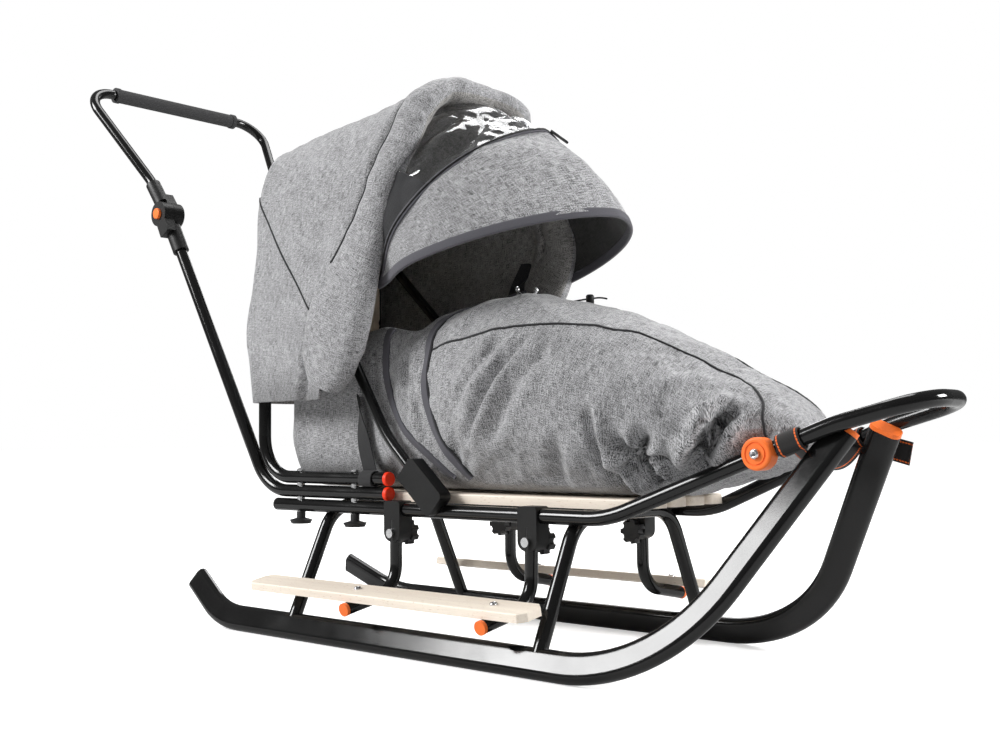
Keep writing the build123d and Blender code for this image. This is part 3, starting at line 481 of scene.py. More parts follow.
@dataclass(frozen=True)
class Moulding(Finish):
    """Moulded plastic with a fine spark grain."""

    roughness: float = 0.45

    def make(self, shader: Shader) -> Shader:
        """Give the shader its nodes."""
        grain = shader.noise(shader.place((1500, 1500, 1500)), 3)
        clouds = shader.noise(shader.place((25, 25, 25)), 3)
        shader.feed("Base Color", shader.blend(clouds, self.shade(0.88), self.shade(1.12)))
        dull = (self.roughness - 0.06, self.roughness + 0.08)
        shader.feed("Roughness", shader.remap(clouds, (0.3, 0.7), dull))
        shader.constant(Specular_IOR_Level=0.28)
        shader.bump(grain, 0.00025, 0.4)
        return shader


@dataclass(frozen=True)
class Hardware(Finish):
    """Bright steel beyond a level along one axis and black plastic short of it, on pieces made of both."""

    axis: str = "Z"
    level: float = 0.0
    mirrored: bool = False

    def make(self, shader: Shader) -> Shader:
        """Give the shader its nodes."""
        split = shader.split(shader.place((1, 1, 1)))[self.axis]
        if self.mirrored:
            split = shader.math("ABSOLUTE", split)
        steel = shader.math("GREATER_THAN", split, self.level)
        brushed = shader.noise(shader.place((300, 300, 2500)), 2)
        bright = shader.blend(brushed, (0.55, 0.55, 0.56), (0.78, 0.78, 0.78))
        shader.feed("Base Color", shader.blend(steel, self.colour, bright))
        shader.feed("Metallic", steel)
        shader.feed("Roughness", shader.remap(steel, (0, 1), (0.5, 0.26)))
        shader.bump(shader.noise(shader.place((1500, 1500, 1500)), 2), 0.0002, 0.3)
        return shader


@dataclass(frozen=True)
class Steel(Finish):
    """Bright zinc-plated steel with a faint brushed grain."""

    roughness: float = 0.24

    def make(self, shader: Shader) -> Shader:
        """Give the shader its nodes."""
        grain = shader.noise(shader.place((2500, 300, 300)), 2)
        shader.constant(Metallic=1.0)
        shader.feed("Base Color", shader.blend(grain, self.shade(0.8), self.shade(1.1)))
        dull = (self.roughness - 0.06, self.roughness + 0.1)
        shader.feed("Roughness", shader.remap(grain, (0.2, 0.8), dull))
        return shader


@dataclass(frozen=True)
class Beech(Finish):
    """Planed beech with its grain along X: long tone bands, short dark ray flecks and open pores."""

    def make(self, shader: Shader) -> Shader:
        """Give the shader its nodes."""
        bands = shader.noise(shader.place((2.2, 55, 55)), 5, 0.6)
        fibres = shader.noise(shader.place((25, 700, 700)), 3)
        flecks = shader.remap(shader.noise(shader.place((140, 900, 900)), 1), (0.66, 0.74), (0.0, 1.0))
        wood = shader.blend(shader.remap(bands, (0.3, 0.7), (0, 1)), self.shade(0.86), self.shade(1.06))
        wood = shader.blend(shader.remap(fibres, (0.3, 0.8), (0, 0.35)), wood, self.shade(0.78))
        marks = shader.math("MULTIPLY", flecks, 0.45)
        shader.feed("Base Color", shader.blend(marks, wood, (0.42, 0.26, 0.14)))
        shader.feed("Roughness", shader.remap(bands, (0.3, 0.7), (0.42, 0.56)))
        shader.bump(shader.math("SUBTRACT", fibres, flecks), 0.0002, 0.4)
        return shader


@dataclass(frozen=True)
class Foam(Finish):
    """Closed-cell foam with fine pits, whose colour darkens towards the middle of each pit: painted shade."""

    def make(self, shader: Shader) -> Shader:
        """Give the shader its nodes."""
        cells = shader.node("ShaderNodeTexVoronoi", {"Vector": shader.place((1, 1, 1)), "Scale": 900.0})
        # The colour darkens towards each pit's middle, where the bump is lowest: painted shade in the pits.
        shader.feed("Base Color", shader.blend(cells.outputs["Distance"], self.shade(0.6), self.shade(1.5)))
        shader.constant(Roughness=0.8)
        shader.bump(cells.outputs["Distance"], 0.0004, 0.6)
        return shader


@dataclass(frozen=True)
class Melange(Finish):
    """Plain weave of slubbed two-tone yarns: warp and weft streaks and a fleck, laid on the cloth's lengths.

    Attributes:
        contrast: how sharply light and dark yarns part.
        pitch: width of a yarn.
    """

    contrast: float = 1.0
    pitch: float = 0.0008

    def make(self, shader: Shader) -> Shader:
        """Give the shader its nodes."""
        thread = 1 / self.pitch
        warp = shader.noise(shader.place((thread, 0.08 * thread, 1), uv=True), 0, 0.5)
        weft = shader.noise(shader.place((0.06 * thread, thread, 1), uv=True), 0, 0.5)
        fleck = shader.noise(shader.place((0.75 * thread, 0.8 * thread, 1), uv=True), 0, 0.5)
        cloud = shader.noise(shader.place((28, 28, 28)), 3)
        yarn = shader.math("MULTIPLY", shader.math("ADD", warp, weft), 0.27)
        yarn = shader.math("ADD", yarn, shader.math("MULTIPLY", fleck, 0.46))
        yarn = shader.math("ADD", yarn, shader.remap(cloud, (0.3, 0.7), (-0.02, 0.02)))
        spread = 0.100 / self.contrast
        share = shader.remap(yarn, (0.5 - spread, 0.5 + spread), (0.0, 1.0))
        shader.feed("Base Color", shader.blend(share, self.shade(0.22), self.shade(1.70)))
        cells = shader.split(shader.place((math.pi * thread, math.pi * thread, 1), uv=True))
        ribs = [shader.math("SINE", cells[axis]) for axis in "XY"]
        weave = shader.math("ADD", shader.math("MULTIPLY", *ribs), yarn)
        shader.constant(Roughness=0.92, Sheen_Weight=0.25, Sheen_Roughness=0.45, Specular_IOR_Level=0.2)
        shader.bump(weave, 0.00030, 0.25)
        return shader


@dataclass(frozen=True)
class Tape(Finish):
    """Ribbed tape or webbing, with dashed stitch lines at a distance from its middle where it has them."""

    stitch_at: float = 0.0
    stitch_colour: Colour = (0.9, 0.16, 0.02)
    stitch_pitch: float = 0.004

    def make(self, shader: Shader) -> Shader:
        """Give the shader its nodes."""
        across, along, _ = shader.split(shader.place((1, 1, 1), uv=True))
        ribs = shader.math("SINE", shader.math("MULTIPLY", along, 2 * math.pi / 0.0016))
        fuzz = shader.noise(shader.place((700, 900, 1), uv=True), 2)
        base = shader.blend(fuzz, self.shade(0.7), self.shade(1.35))
        height = shader.math("ADD", ribs, fuzz)
        if self.stitch_at:
            off = shader.math("SUBTRACT", shader.math("ABSOLUTE", across), self.stitch_at)
            line = shader.math("LESS_THAN", shader.math("ABSOLUTE", off), 0.0009)
            dash = shader.math("FRACT", shader.math("DIVIDE", along, self.stitch_pitch))
            thread = shader.math("MULTIPLY", line, shader.math("LESS_THAN", dash, 0.8))
            base = shader.blend(thread, base, self.stitch_colour)
            height = shader.math("ADD", height, shader.math("MULTIPLY", thread, 2.0))
        shader.feed("Base Color", base)
        shader.constant(Roughness=0.75, Sheen_Weight=0.15, Specular_IOR_Level=0.3)
        shader.bump(height, 0.0002, 0.5)
        return shader


@dataclass(frozen=True)
class Fleece(Finish):
    """Short-pile lining with soft clumps."""

    def make(self, shader: Shader) -> Shader:
        """Give the shader its nodes."""
        clumps = shader.noise(shader.place((260, 260, 260)), 4, 0.7)
        shader.feed("Base Color", shader.blend(clumps, self.shade(0.8), self.shade(1.15)))
        shader.constant(Roughness=0.95, Sheen_Weight=0.3, Specular_IOR_Level=0.15)
        shader.bump(clumps, 0.0012, 0.6)
        return shader


@dataclass(frozen=True)
class Film(Finish):
    """Clear flexible film with a faint milky haze in its creases, tinted grey by its main colour so that the
    hood's inside seen through it is darker: painted shade.
    """

    def make(self, shader: Shader) -> Shader:
        """Give the shader its nodes."""
        haze = shader.noise(shader.place((60, 60, 60)), 4, 0.6)
        shader.constant(Base_Color=(*self.colour, 1.0), Transmission_Weight=1.0, IOR=1.46)
        shader.feed("Roughness", shader.remap(haze, (0.35, 0.7), (0.01, 0.06)))
        shader.bump(haze, 0.0004, 0.2)
        return shader


@dataclass(frozen=True)
class Palette:
    """The sled's finishes."""

    steel: Finish = PowderCoat("black_powder_coat", "black_steel", (0.006, 0.006, 0.006))
    moulding: Finish = Moulding("black_moulding", "black_plastic", (0.008, 0.008, 0.008))
    orange: Finish = Moulding("orange_moulding", "orange_plastic", (1.0, 0.19, 0.036), 0.36)
    red: Finish = Moulding("red_moulding", "red_plastic", (0.95, 0.040, 0.008), 0.38)
    beech: Finish = Beech("oiled_beech", "beech", (0.98, 0.855, 0.73))
    foam: Finish = Foam("grip_foam", "foam_grip", (0.025, 0.025, 0.026))
    bolts: Finish = Hardware("stack_hardware", "black_steel", (0.016, 0.016, 0.017), "Z", 0.1862)
    knobs: Finish = Hardware("clamp_hardware", "black_plastic", (0.016, 0.016, 0.017), "Y", 0.1351, True)
    bright: Finish = Steel("plated_steel", "black_steel", (0.72, 0.72, 0.73))
    cloth: Finish = Melange("grey_melange", "grey_fabric", (0.285, 0.285, 0.292))
    lining: Finish = Melange("hood_lining", "grey_fabric", (0.27, 0.262, 0.252), 0.8)
    # Near-black copy of the grey cloth for the visor's underside: painted shade.
    visor_painted_shade: Finish = Melange("visor_painted_shade", "grey_fabric", (0.040, 0.040, 0.038), 0.8)
    fleece: Finish = Fleece("pad_fleece", "cream_fleece", (0.62, 0.53, 0.40))
    binding: Finish = Tape("grey_binding", "webbing", (0.075, 0.073, 0.085))
    # Black tape for pipings, seams and cords, also used as painted shade: the line along the hood roll's rear
    # edge and the window's black ends.
    piping: Finish = Tape("black_piping_and_painted_shade", "webbing", (0.014, 0.014, 0.016))
    webbing: Finish = Tape("black_webbing", "webbing", (0.014, 0.014, 0.015))
    tow_webbing: Finish = Tape("stitched_webbing", "webbing", (0.016, 0.015, 0.015), 0.0118)
    # The film's grey tint darkens the hood's inside seen through the window: painted shade.
    film: Finish = Film("crumpled_film", "clear_film", (0.80, 0.81, 0.82))


PALETTE = Palette()


def add_object(name: str, data: bpy.types.ID) -> Piece:
    """Put a mesh, curve, light or camera into the scene."""
    made = bpy.data.objects.new(name, data)
    bpy.context.scene.collection.objects.link(made)
    return made


def add_piece(name: str, skin: Skin, finish: Finish) -> Piece:
    """Make a skin into a piece that rides on the frame.

    Args:
        name: the piece's name.
        skin: its surface.
        finish: its finish.

    Returns:
        The new object, at the origin.
    """
    piece = add_object(name, skin.mesh(name))
    piece.data.materials.append(finish.material())
    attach(piece, FRAME_BODY)
    LOG.info("%s: %d faces", name, len(piece.data.polygons))
    return piece


def add_set(name: str, skins: list[Skin], finish: Finish) -> Piece:
    """Make several like skins into one piece."""
    piece = add_piece(name, skins[0], finish)
    made = bmesh.new()
    made.from_mesh(piece.data)
    for skin in skins[1:]:
        extra = skin.mesh(name + "_part")
        made.from_mesh(extra)
        bpy.data.meshes.remove(extra)
    made.to_mesh(piece.data)
    made.free()
    return piece


def weld(piece: Piece, distance: float = 2e-5) -> None:
    """Join grid points that lie on each other, so that seams and poles are closed."""
    made = bmesh.new()
    made.from_mesh(piece.data)
    bmesh.ops.remove_doubles(made, verts=made.verts, dist=distance)
    made.to_mesh(piece.data)
    made.free()


def thicken(piece: Piece, thickness: float, inner: Finish | None = None) -> None:
    """Give a sheet its thickness inwards, with another finish on its inner face where it has one."""
    wall = piece.modifiers.new("thickness", "SOLIDIFY")
    wall.thickness, wall.offset = thickness, -1.0
    if inner:
        piece.data.materials.append(inner.material())
        wall.material_offset = 1


def stuff(piece: Piece, held: Array, reach: float) -> None:
    """Swell a padded piece by cloth simulation and keep the result in its mesh.

    Args:
        piece: the closed piece.
        held: which of its points stay, such as seams and what lies on the frame.
        reach: the furthest that a point may move, in metres.
    """
    count = len(piece.data.vertices)
    rest = np.empty(count * 3)
    piece.data.vertices.foreach_get("co", rest)
    group = piece.vertex_groups.new(name="held")
    group.add(np.flatnonzero(held).tolist(), 1.0, "REPLACE")
    cloth = piece.modifiers.new("stuffing", "CLOTH")
    cloth.settings.quality = 5
    cloth.settings.mass = 0.3
    cloth.settings.tension_stiffness = cloth.settings.compression_stiffness = 12.0
    cloth.settings.bending_stiffness = 0.4
    cloth.settings.use_pressure = True
    cloth.settings.uniform_pressure_force = STUFFING_PRESSURE
    cloth.settings.vertex_group_mass = group.name
    cloth.settings.shrink_min = -0.015
    cloth.settings.effector_weights.gravity = 0.0
    cloth.collision_settings.use_collision = False
    for frame in range(1, STUFFING_FRAMES + 1):
        bpy.context.scene.frame_set(frame)
    swollen = np.empty(count * 3)
    evaluated = piece.evaluated_get(bpy.context.evaluated_depsgraph_get())
    evaluated.data.vertices.foreach_get("co", swollen)
    move = (swollen - rest).reshape(-1, 3)
    length = np.linalg.norm(move, axis=1, keepdims=True)
    move *= np.minimum(1.0, reach / np.maximum(length, 1e-9))
    piece.modifiers.remove(cloth)
    piece.vertex_groups.remove(group)
    piece.data.vertices.foreach_set("co", (rest.reshape(-1, 3) + move).ravel())
    piece.data.update()
    bpy.context.scene.frame_set(1)
    LOG.info("%s swelled by up to %.1f mm", piece.name, 1000 * np.linalg.norm(move, axis=1).max())


def settle(piece: Piece, skin: Skin) -> Skin:
    """Return a skin with the places that its piece's points now have."""
    co = np.empty(len(piece.data.vertices) * 3)
    piece.data.vertices.foreach_get("co", co)
    count = skin.points.shape[0] * skin.points.shape[1]
    return Skin(co.reshape(-1, 3)[:count].reshape(skin.points.shape), skin.wraps, skin.capped, skin.across)


def reshape(piece: Piece, points: Array) -> None:
    """Move a piece's grid points, with the hubs of its end fans in the middle of the end rows."""
    flat = points.reshape(-1, 3)
    if len(piece.data.vertices) > len(flat):
        flat = np.concatenate([flat, points[0].mean(axis=0)[None], points[-1].mean(axis=0)[None]])
    piece.data.vertices.foreach_set("co", flat.ravel())
    piece.data.update()


def line_faces(piece: Piece, finish: Finish, lined: Array) -> None:
    """Give some of a grid's faces a second finish.

    Args:
        piece: the piece, whose grid faces come first.
        finish: the second finish.
        lined: which of the grid's faces take it.
    """
    piece.data.materials.append(finish.material())
    index = np.zeros(len(piece.data.polygons), np.int32)
    index[: lined.size] = lined.ravel()
    piece.data.polygons.foreach_set("material_index", index)


# The sled


@dataclass
class FrameDress:
    """Finishes for the CAD nodes that stay, and the small hardware on them.

    Attributes:
        finishes: the start of a node's name, and its finish.
        board_middle: y and z of the footboards' top faces at their middle.
        board_fall: how far a footboard falls over how wide.
        board_screw_xs: x of the screws through a footboard.
        screw_radius: radius of their heads.
        disc_bolt_radius: radius of the heads of the bolts in the strap discs.
    """

    finishes: tuple[tuple[str, Finish], ...] = (
        ("runner_nose_caps", PALETTE.orange),
        ("hanger_caps", PALETTE.orange),
        ("hinge_button", PALETTE.orange),
        ("strap_disc", PALETTE.orange),
        ("stack_caps", PALETTE.red),
        ("footboard", PALETTE.beech),
        ("seat_slats", PALETTE.beech),
        ("stack_bolts", PALETTE.bolts),
        ("star_knobs", PALETTE.knobs),
        ("hanger_clamps", PALETTE.moulding),
        ("brace_socket", PALETTE.moulding),
        ("hinge_", PALETTE.moulding),
        ("runner_tail_plugs", PALETTE.moulding),
        ("seat_tube_plugs", PALETTE.moulding),
        ("handle_grip", PALETTE.foam),
    )
    board_middle: tuple[float, float] = (0.20053, 0.0876)
    board_fall: tuple[float, float] = (0.018, 0.096)
    board_screw_xs: tuple[float, ...] = (0.001, 0.261)
    screw_radius: float = 0.0052
    disc_bolt_radius: float = 0.0062

    def dress(self, nodes: dict[str, Piece]) -> None:
        """Put a finish on every CAD node that stays."""
        for name, node in nodes.items():
            finish = next((f for start, f in self.finishes if name.startswith(start)), PALETTE.steel)
            node.data.materials.clear()
            node.data.materials.append(finish.material())

    def socket_bolt(self, centre: Array, axis: Array, radius: float) -> Skin:
        """Return a button-head bolt with a hexagon socket: a domed outline turned about the bolt's axis."""
        head = ((0.0, -0.5), (1.0, -0.5), (1.0, 0.25), (0.86, 0.5), (0.62, 0.6))
        socket = ((0.5, 0.6), (0.46, -0.1), (0.0, -0.1))
        return turned(np.array(head + socket) * radius, centre, axis, 36, len(socket))

    def add_hardware(self) -> None:
        """Add the bolts in the strap discs and the screws in the footboards."""
        bolts, screws = [], []
        fall = math.atan2(*self.board_fall)
        for side in Side:
            low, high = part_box(f"strap_disc_{side.name.lower()}")
            face = low.y if side is Side.RIGHT else high.y
            centre = np.array([(low.x + high.x) / 2, face + side.value * 0.0012, (low.z + high.z) / 2])
            bolts.append(self.socket_bolt(centre, np.array([0, side.value, 0]), self.disc_bolt_radius))
            up = np.array([0.0, side.value * math.sin(fall), math.cos(fall)])
            y, z = self.board_middle
            for x in self.board_screw_xs:
                centre = np.array([x, side.value * y, z]) + 0.0004 * up
                screws.append(self.socket_bolt(centre, up, self.screw_radius))
        add_set("strap_disc_bolts", bolts, PALETTE.bright)
        add_set("footboard_screws", screws, PALETTE.bright)


@dataclass
class Crease:
    """A long soft fold pressed into a side of the cloth.

    Attributes:
        start: x and z where it begins.
        end: x and z where it ends.
        depth: depth of its valley.
        width: half width of its valley.
        lap: how much one side laps over the other, from -1 to 1.
    """

    start: tuple[float, float]
    end: tuple[float, float]
    depth: float
    width: float
    lap: float = 0.0

    def press(self, points: Array, side: Side) -> Array:
        """Return how deep each point sinks: a valley beside a ridge, fading at its ends.

        With d as the signed distance from the line in half widths, the shape is (1 - lap) times (1 - d^2)
        plus 1.6 lap d, all times exp(-d^2 / 2).

        Args:
            points: positions on the cloth.
            side: the side of the sled that the fold is on.

        Returns:
            A depth for each point.
        """
        a, b = np.array(self.start), np.array(self.end)
        flat = points[..., [0, 2]] - a
        run = (b - a) / np.linalg.norm(b - a)
        share = (flat @ run) / np.linalg.norm(b - a)
        foot = np.clip(share, 0, 1)[..., None] * (b - a)
        d = np.linalg.norm(flat - foot, axis=-1) / self.width
        d = d * np.sign(flat[..., 0] * run[1] - flat[..., 1] * run[0])
        taper = smoothstep(1.6 - np.abs(share - 0.5) * 2.2)
        on_side = smoothstep(points[..., 1] * side.value / 0.03)
        shape = ((1 - self.lap) * (1 - d**2) + 1.6 * self.lap * d) * np.exp(-(d**2) / 2)
        return self.depth * shape * taper * on_side


@dataclass
class Footmuff:
    """The padded footmuff: a closed bag whose sections are superellipses, with an open well at its rear.

    Attributes:
        stations: x, half width, floor and crown of its sections.
        rear_binding: x and z of the rear binding on the side, from the crown down.
        front_binding: the same of the front binding.
        binding_tops: x where each binding crosses the crown.
        binding_size: width and thickness of the binding tape.
        binding_lift: height of the tape's middle above the cloth.
        piping: x and share of the girth of the piping along the edge of the top panel.
        piping_radius: radius of that piping.
        creases: the folds on each side.
        pinch: x and z of the tuck at each toe corner.
        well_depth: depth of the open well.
        well_front: x of the well's front end.
        rim: width of the padded rim beside the well.
        held_below: height up to which the bag lies on the slats and holds still.
        swell: how far the stuffing may move the cloth.
        row_x: x of each row, once the bag is made.
        well_share: how far each point belongs to the well, once the bag is made.
    """

    stations: tuple[Quad, ...] = (
        (-0.284, 0.108, 0.2225, 0.468),
        (-0.150, 0.110, 0.2225, 0.476),
        (-0.040, 0.114, 0.2225, 0.483),
        (0.020, 0.118, 0.2225, 0.489),
        (0.070, 0.124, 0.2225, 0.496),
        (0.118, 0.134, 0.2225, 0.500),
        (0.175, 0.146, 0.2225, 0.498),
        (0.240, 0.151, 0.2225, 0.488),
        (0.300, 0.150, 0.2225, 0.473),
        (0.370, 0.147, 0.2225, 0.449),
        (0.440, 0.138, 0.2270, 0.420),
        (0.505, 0.122, 0.2410, 0.385),
        (0.560, 0.102, 0.2620, 0.357),
        (0.608, 0.088, 0.2800, 0.334),
    )
    rear_binding: Pairs = (
        (-0.036, 0.454), (-0.031, 0.425), (-0.029, 0.396),
        (-0.025, 0.368), (-0.010, 0.329), (0.032, 0.296), (0.073, 0.266), (0.100, 0.244),
    )
    front_binding: Pairs = (
        (0.048, 0.445), (0.060, 0.410), (0.060, 0.377),
        (0.069, 0.342), (0.090, 0.307), (0.118, 0.270), (0.138, 0.244),
    )
    binding_tops: tuple[float, float] = (-0.020, 0.075)
    binding_size: tuple[float, float] = (0.012, 0.0056)
    binding_lift: float = 0.0012
    cord_offset: float = 0.0068
    cord_radius: float = 0.0017
    piping_radius: float = 0.0018
    piping: Pairs = (
        (0.061, 0.340), (0.165, 0.305), (0.247, 0.249), (0.307, 0.200), (0.365, 0.155), (0.430, 0.120),
        (0.491, 0.105), (0.535, 0.125), (0.566, 0.200), (0.582, 0.400), (0.586, 0.590),
    )
    creases: tuple[Crease, ...] = (
        Crease((0.250, 0.425), (0.165, 0.300), 0.015, 0.010, 0.3),
        Crease((0.285, 0.405), (0.215, 0.300), 0.006, 0.012),
        Crease((0.215, 0.440), (0.140, 0.345), 0.006, 0.010),
        Crease((0.010, 0.420), (0.025, 0.330), 0.007, 0.010),
        Crease((0.035, 0.380), (0.060, 0.300), 0.006, 0.009),
        Crease((-0.060, 0.430), (-0.050, 0.340), 0.004, 0.008),
        Crease((-0.085, 0.430), (-0.090, 0.330), 0.004, 0.008),
        Crease((0.380, 0.330), (0.402, 0.228), 0.020, 0.009, 0.55),
        Crease((0.546, 0.330), (0.500, 0.258), 0.022, 0.010, -0.55),
        Crease((0.120, 0.330), (0.130, 0.270), 0.005, 0.012),
        Crease((0.330, 0.300), (0.300, 0.240), 0.006, 0.012),
        Crease((0.470, 0.330), (0.520, 0.300), 0.006, 0.010),
    )
    pinch: tuple[float, float] = (0.440, 0.270)
    pinch_depth: float = 0.024
    pinch_radius: float = 0.017
    well_depth: float = 0.150
    well_front: float = 0.030
    rim: float = 0.020
    toe_round: float = 0.060
    rear_round: float = 0.030
    held_below: float = 0.236
    held_behind: float = -0.06
    swell: float = 0.006
    rows: int = 280
    columns: int = 260
    curve_points: int = 160
    row_x: Array = field(default_factory=lambda: np.zeros(0))
    well_share: Array = field(default_factory=lambda: np.zeros(0))

    def section(self, x: Array) -> tuple[Array, Array, Array, Array]:
        """Return half width, floor, widest level and crown at places along X."""
        table = np.array(self.stations).T
        half, floor, crown = (smooth_table(x, table[0], column) for column in table[1:])
        return half, floor, floor + 0.45 * (crown - floor), crown

    def powers(self, x: Array) -> tuple[Array, Array]:
        """Return the superellipse powers of the lower and upper half at places along X."""
        toe = smoothstep((x - 0.35) / 0.2)
        rear = smoothstep((0.06 - x) / 0.12)
        return 3.2 - 0.9 * toe, 2.45 - 0.25 * toe + 2.2 * rear

    def girth(self, x: Array, z: Array) -> Array:
        """Return how far round the section a height lies, from 0 at the crown to 1 under the floor."""
        _, floor, middle, crown = self.section(x)
        low, high = self.powers(x)
        above = np.clip((z - middle) / (crown - middle), 0, 1) ** (high / 2)
        below = np.clip((middle - z) / (middle - floor), 0, 1) ** (low / 2)
        return 0.5 - np.arcsin(above) / math.pi + np.arcsin(below) / math.pi

    def skin(self) -> Skin:
        """Return the bag: superellipse sections along X, rounded at both ends, with the well pressed in."""
        first, last = self.stations[0][0], self.stations[-1][0]
        turn = np.linspace(0, math.pi, self.rows)
        even = (1 - np.cos(turn)) / 2 * 0.35 + np.linspace(0, 1, self.rows) * 0.65
        x = first + (last - first) * even
        self.row_x = x
        half, floor, middle, crown = (column[:, None] for column in self.section(x))
        low, high = (column[:, None] for column in self.powers(x))
        toe = np.clip((x - (last - self.toe_round)) / self.toe_round, 0, 1)
        rear = np.clip((first + self.rear_round - x) / self.rear_round, 0, 1)
        shrink = np.sqrt(np.clip(1 - np.maximum(toe, rear) ** 2.2, 0.002, 1))[:, None]
        angle = (-math.pi / 2 + np.arange(self.columns) / self.columns * 2 * math.pi)[None]
        power = np.where(np.sin(angle) > 0, high, low)
        c, s = power_circle(angle, power)
        y = half * c * (0.25 + 0.75 * shrink)
        z = middle + np.where(s > 0, crown - middle, middle - floor) * s * shrink
        inside = smoothstep((half - self.rim - np.abs(y)) / 0.03) * (s > 0)
        well = smoothstep((self.well_front - x) / 0.07) * smoothstep((x + 0.268) / 0.02)
        self.well_share = inside * well[:, None]
        z = z - self.well_depth * inside * well[:, None]
        return Skin(np.stack([np.broadcast_to(x[:, None], y.shape), y, z], axis=-1), wraps=True, capped=True)

    def round_curve(self, knots: Pairs, top_x: float) -> tuple[Array, Array]:
        """Return rows and columns of a curve over the bag from the right side to the left.

        Args:
            knots: x and z on the side, from the crown down.
            top_x: x where it crosses the crown.

        Returns:
            Row numbers and column numbers, with fractions.
        """
        x, z = np.array(knots).T
        girth = np.r_[0.0, self.girth(x, z)]
        at = np.linspace(-girth[-1], girth[-1], self.curve_points)
        along = smooth_table(np.abs(at), girth, np.r_[top_x, x])
        return np.interp(along, self.row_x, np.arange(self.rows)), (0.5 - at / 2) * self.columns

    def edge_curve(self, side: Side) -> tuple[Array, Array]:
        """Return rows and columns of the piping along one edge of the top panel."""
        path = smooth_path(np.array(self.piping) * (1.0, 0.3), self.curve_points)
        along, at = path[:, 0], path[:, 1] / 0.3
        return np.interp(along, self.row_x, np.arange(self.rows)), (0.5 - side.value * at / 2) * self.columns

    def draw_taut(self, path: Array) -> Array:
        """Return a row of points evened out by a running mean, as a sewn tape bridges small folds."""
        span = 4
        padded = np.pad(path, ((span, span), (0, 0)), mode="reflect", reflect_type="odd")
        return np.mean([padded[at : at + len(path)] for at in range(2 * span + 1)], axis=0)

    def press_folds(self, skin: Skin) -> Array:
        """Return the bag's points with creases, a tuck at each toe corner and soft waves pressed in."""
        points, normals = skin.points, skin.normals()
        depth = np.zeros(points.shape[:2])
        for side in Side:
            for crease in self.creases:
                depth += crease.press(points, side)
            offset = points[..., [0, 2]] - np.array(self.pinch)
            radius, turn = np.linalg.norm(offset, axis=-1), np.arctan2(offset[..., 1], offset[..., 0])
            star = np.exp(-((radius / self.pinch_radius) ** 2) / 2)
            rays = 0.75 * np.cos(5 * turn + 0.6) * np.exp(-((radius / self.pinch_radius - 1.2) ** 2))
            depth += self.pinch_depth * (star + rays) * smoothstep(points[..., 1] * side.value / 0.03)
        free = smoothstep((points[..., 2] - 0.235) / 0.03)
        depth += 0.0028 * ripple(points * (1, 1, 0.6), 0.11, 3) * free
        depth += 0.0012 * ripple(points, 0.045, 5) * free
        return points - normals * depth[..., None]

    def sew(self, name: str, path: Array, normal: Array) -> None:
        """Sew a tape or a piping onto the bag, and a cord beside the front tape.

        Args:
            name: the piece's name, which says what it is.
            path: points on the cloth.
            normal: the cloth's outward directions there.
        """
        if "binding" not in name:
            piping = sweep(path + normal * 0.0004, normal, round_profile(self.piping_radius))
            add_piece(name, piping, PALETTE.piping)
            return
        path, normal = self.draw_taut(path), unit(self.draw_taut(normal))
        path = path + normal * self.binding_lift
        add_piece(name, sweep(path, normal, band_profile(*self.binding_size)), PALETTE.binding)
        if "front" in name:
            side = unit(np.cross(unit(np.gradient(path, axis=0)), normal))
            edge = path + side * np.sign(side[:1, :1]) * self.cord_offset
            cord = sweep(edge, normal, round_profile(self.cord_radius))
            add_piece("footmuff_binding_cord", cord, PALETTE.piping)

    def build(self) -> None:
        """Build the bag, swell it between its seams, fold it and sew on its bindings and piping."""
        skin = self.skin()
        piece = add_piece("footmuff_bag", skin, PALETTE.cloth)
        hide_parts("footmuff")
        x, z = skin.points[..., 0], skin.points[..., 2]
        held = (self.well_share > 0.02) | (z < self.held_below) | (x < self.held_behind)
        rear, front = self.binding_tops
        curves = {
            "footmuff_rear_binding": self.round_curve(self.rear_binding, rear),
            "footmuff_front_binding": self.round_curve(self.front_binding, front),
            "footmuff_piping_right": self.edge_curve(Side.RIGHT),
            "footmuff_piping_left": self.edge_curve(Side.LEFT),
        }
        for row, column in curves.values():
            held[np.round(row).astype(int), np.round(column).astype(int) % self.columns] = True
        stuff(piece, np.r_[held.ravel(), True, True], self.swell)
        points = self.press_folds(settle(piece, skin))
        reshape(piece, points)
        lined = self.well_share > 0.25
        line_faces(piece, PALETTE.fleece, lined[:-1] & lined[1:])
        skin = Skin(points, True, True)
        for name, (row, column) in curves.items():
            self.sew(name, *skin.at(row, column))


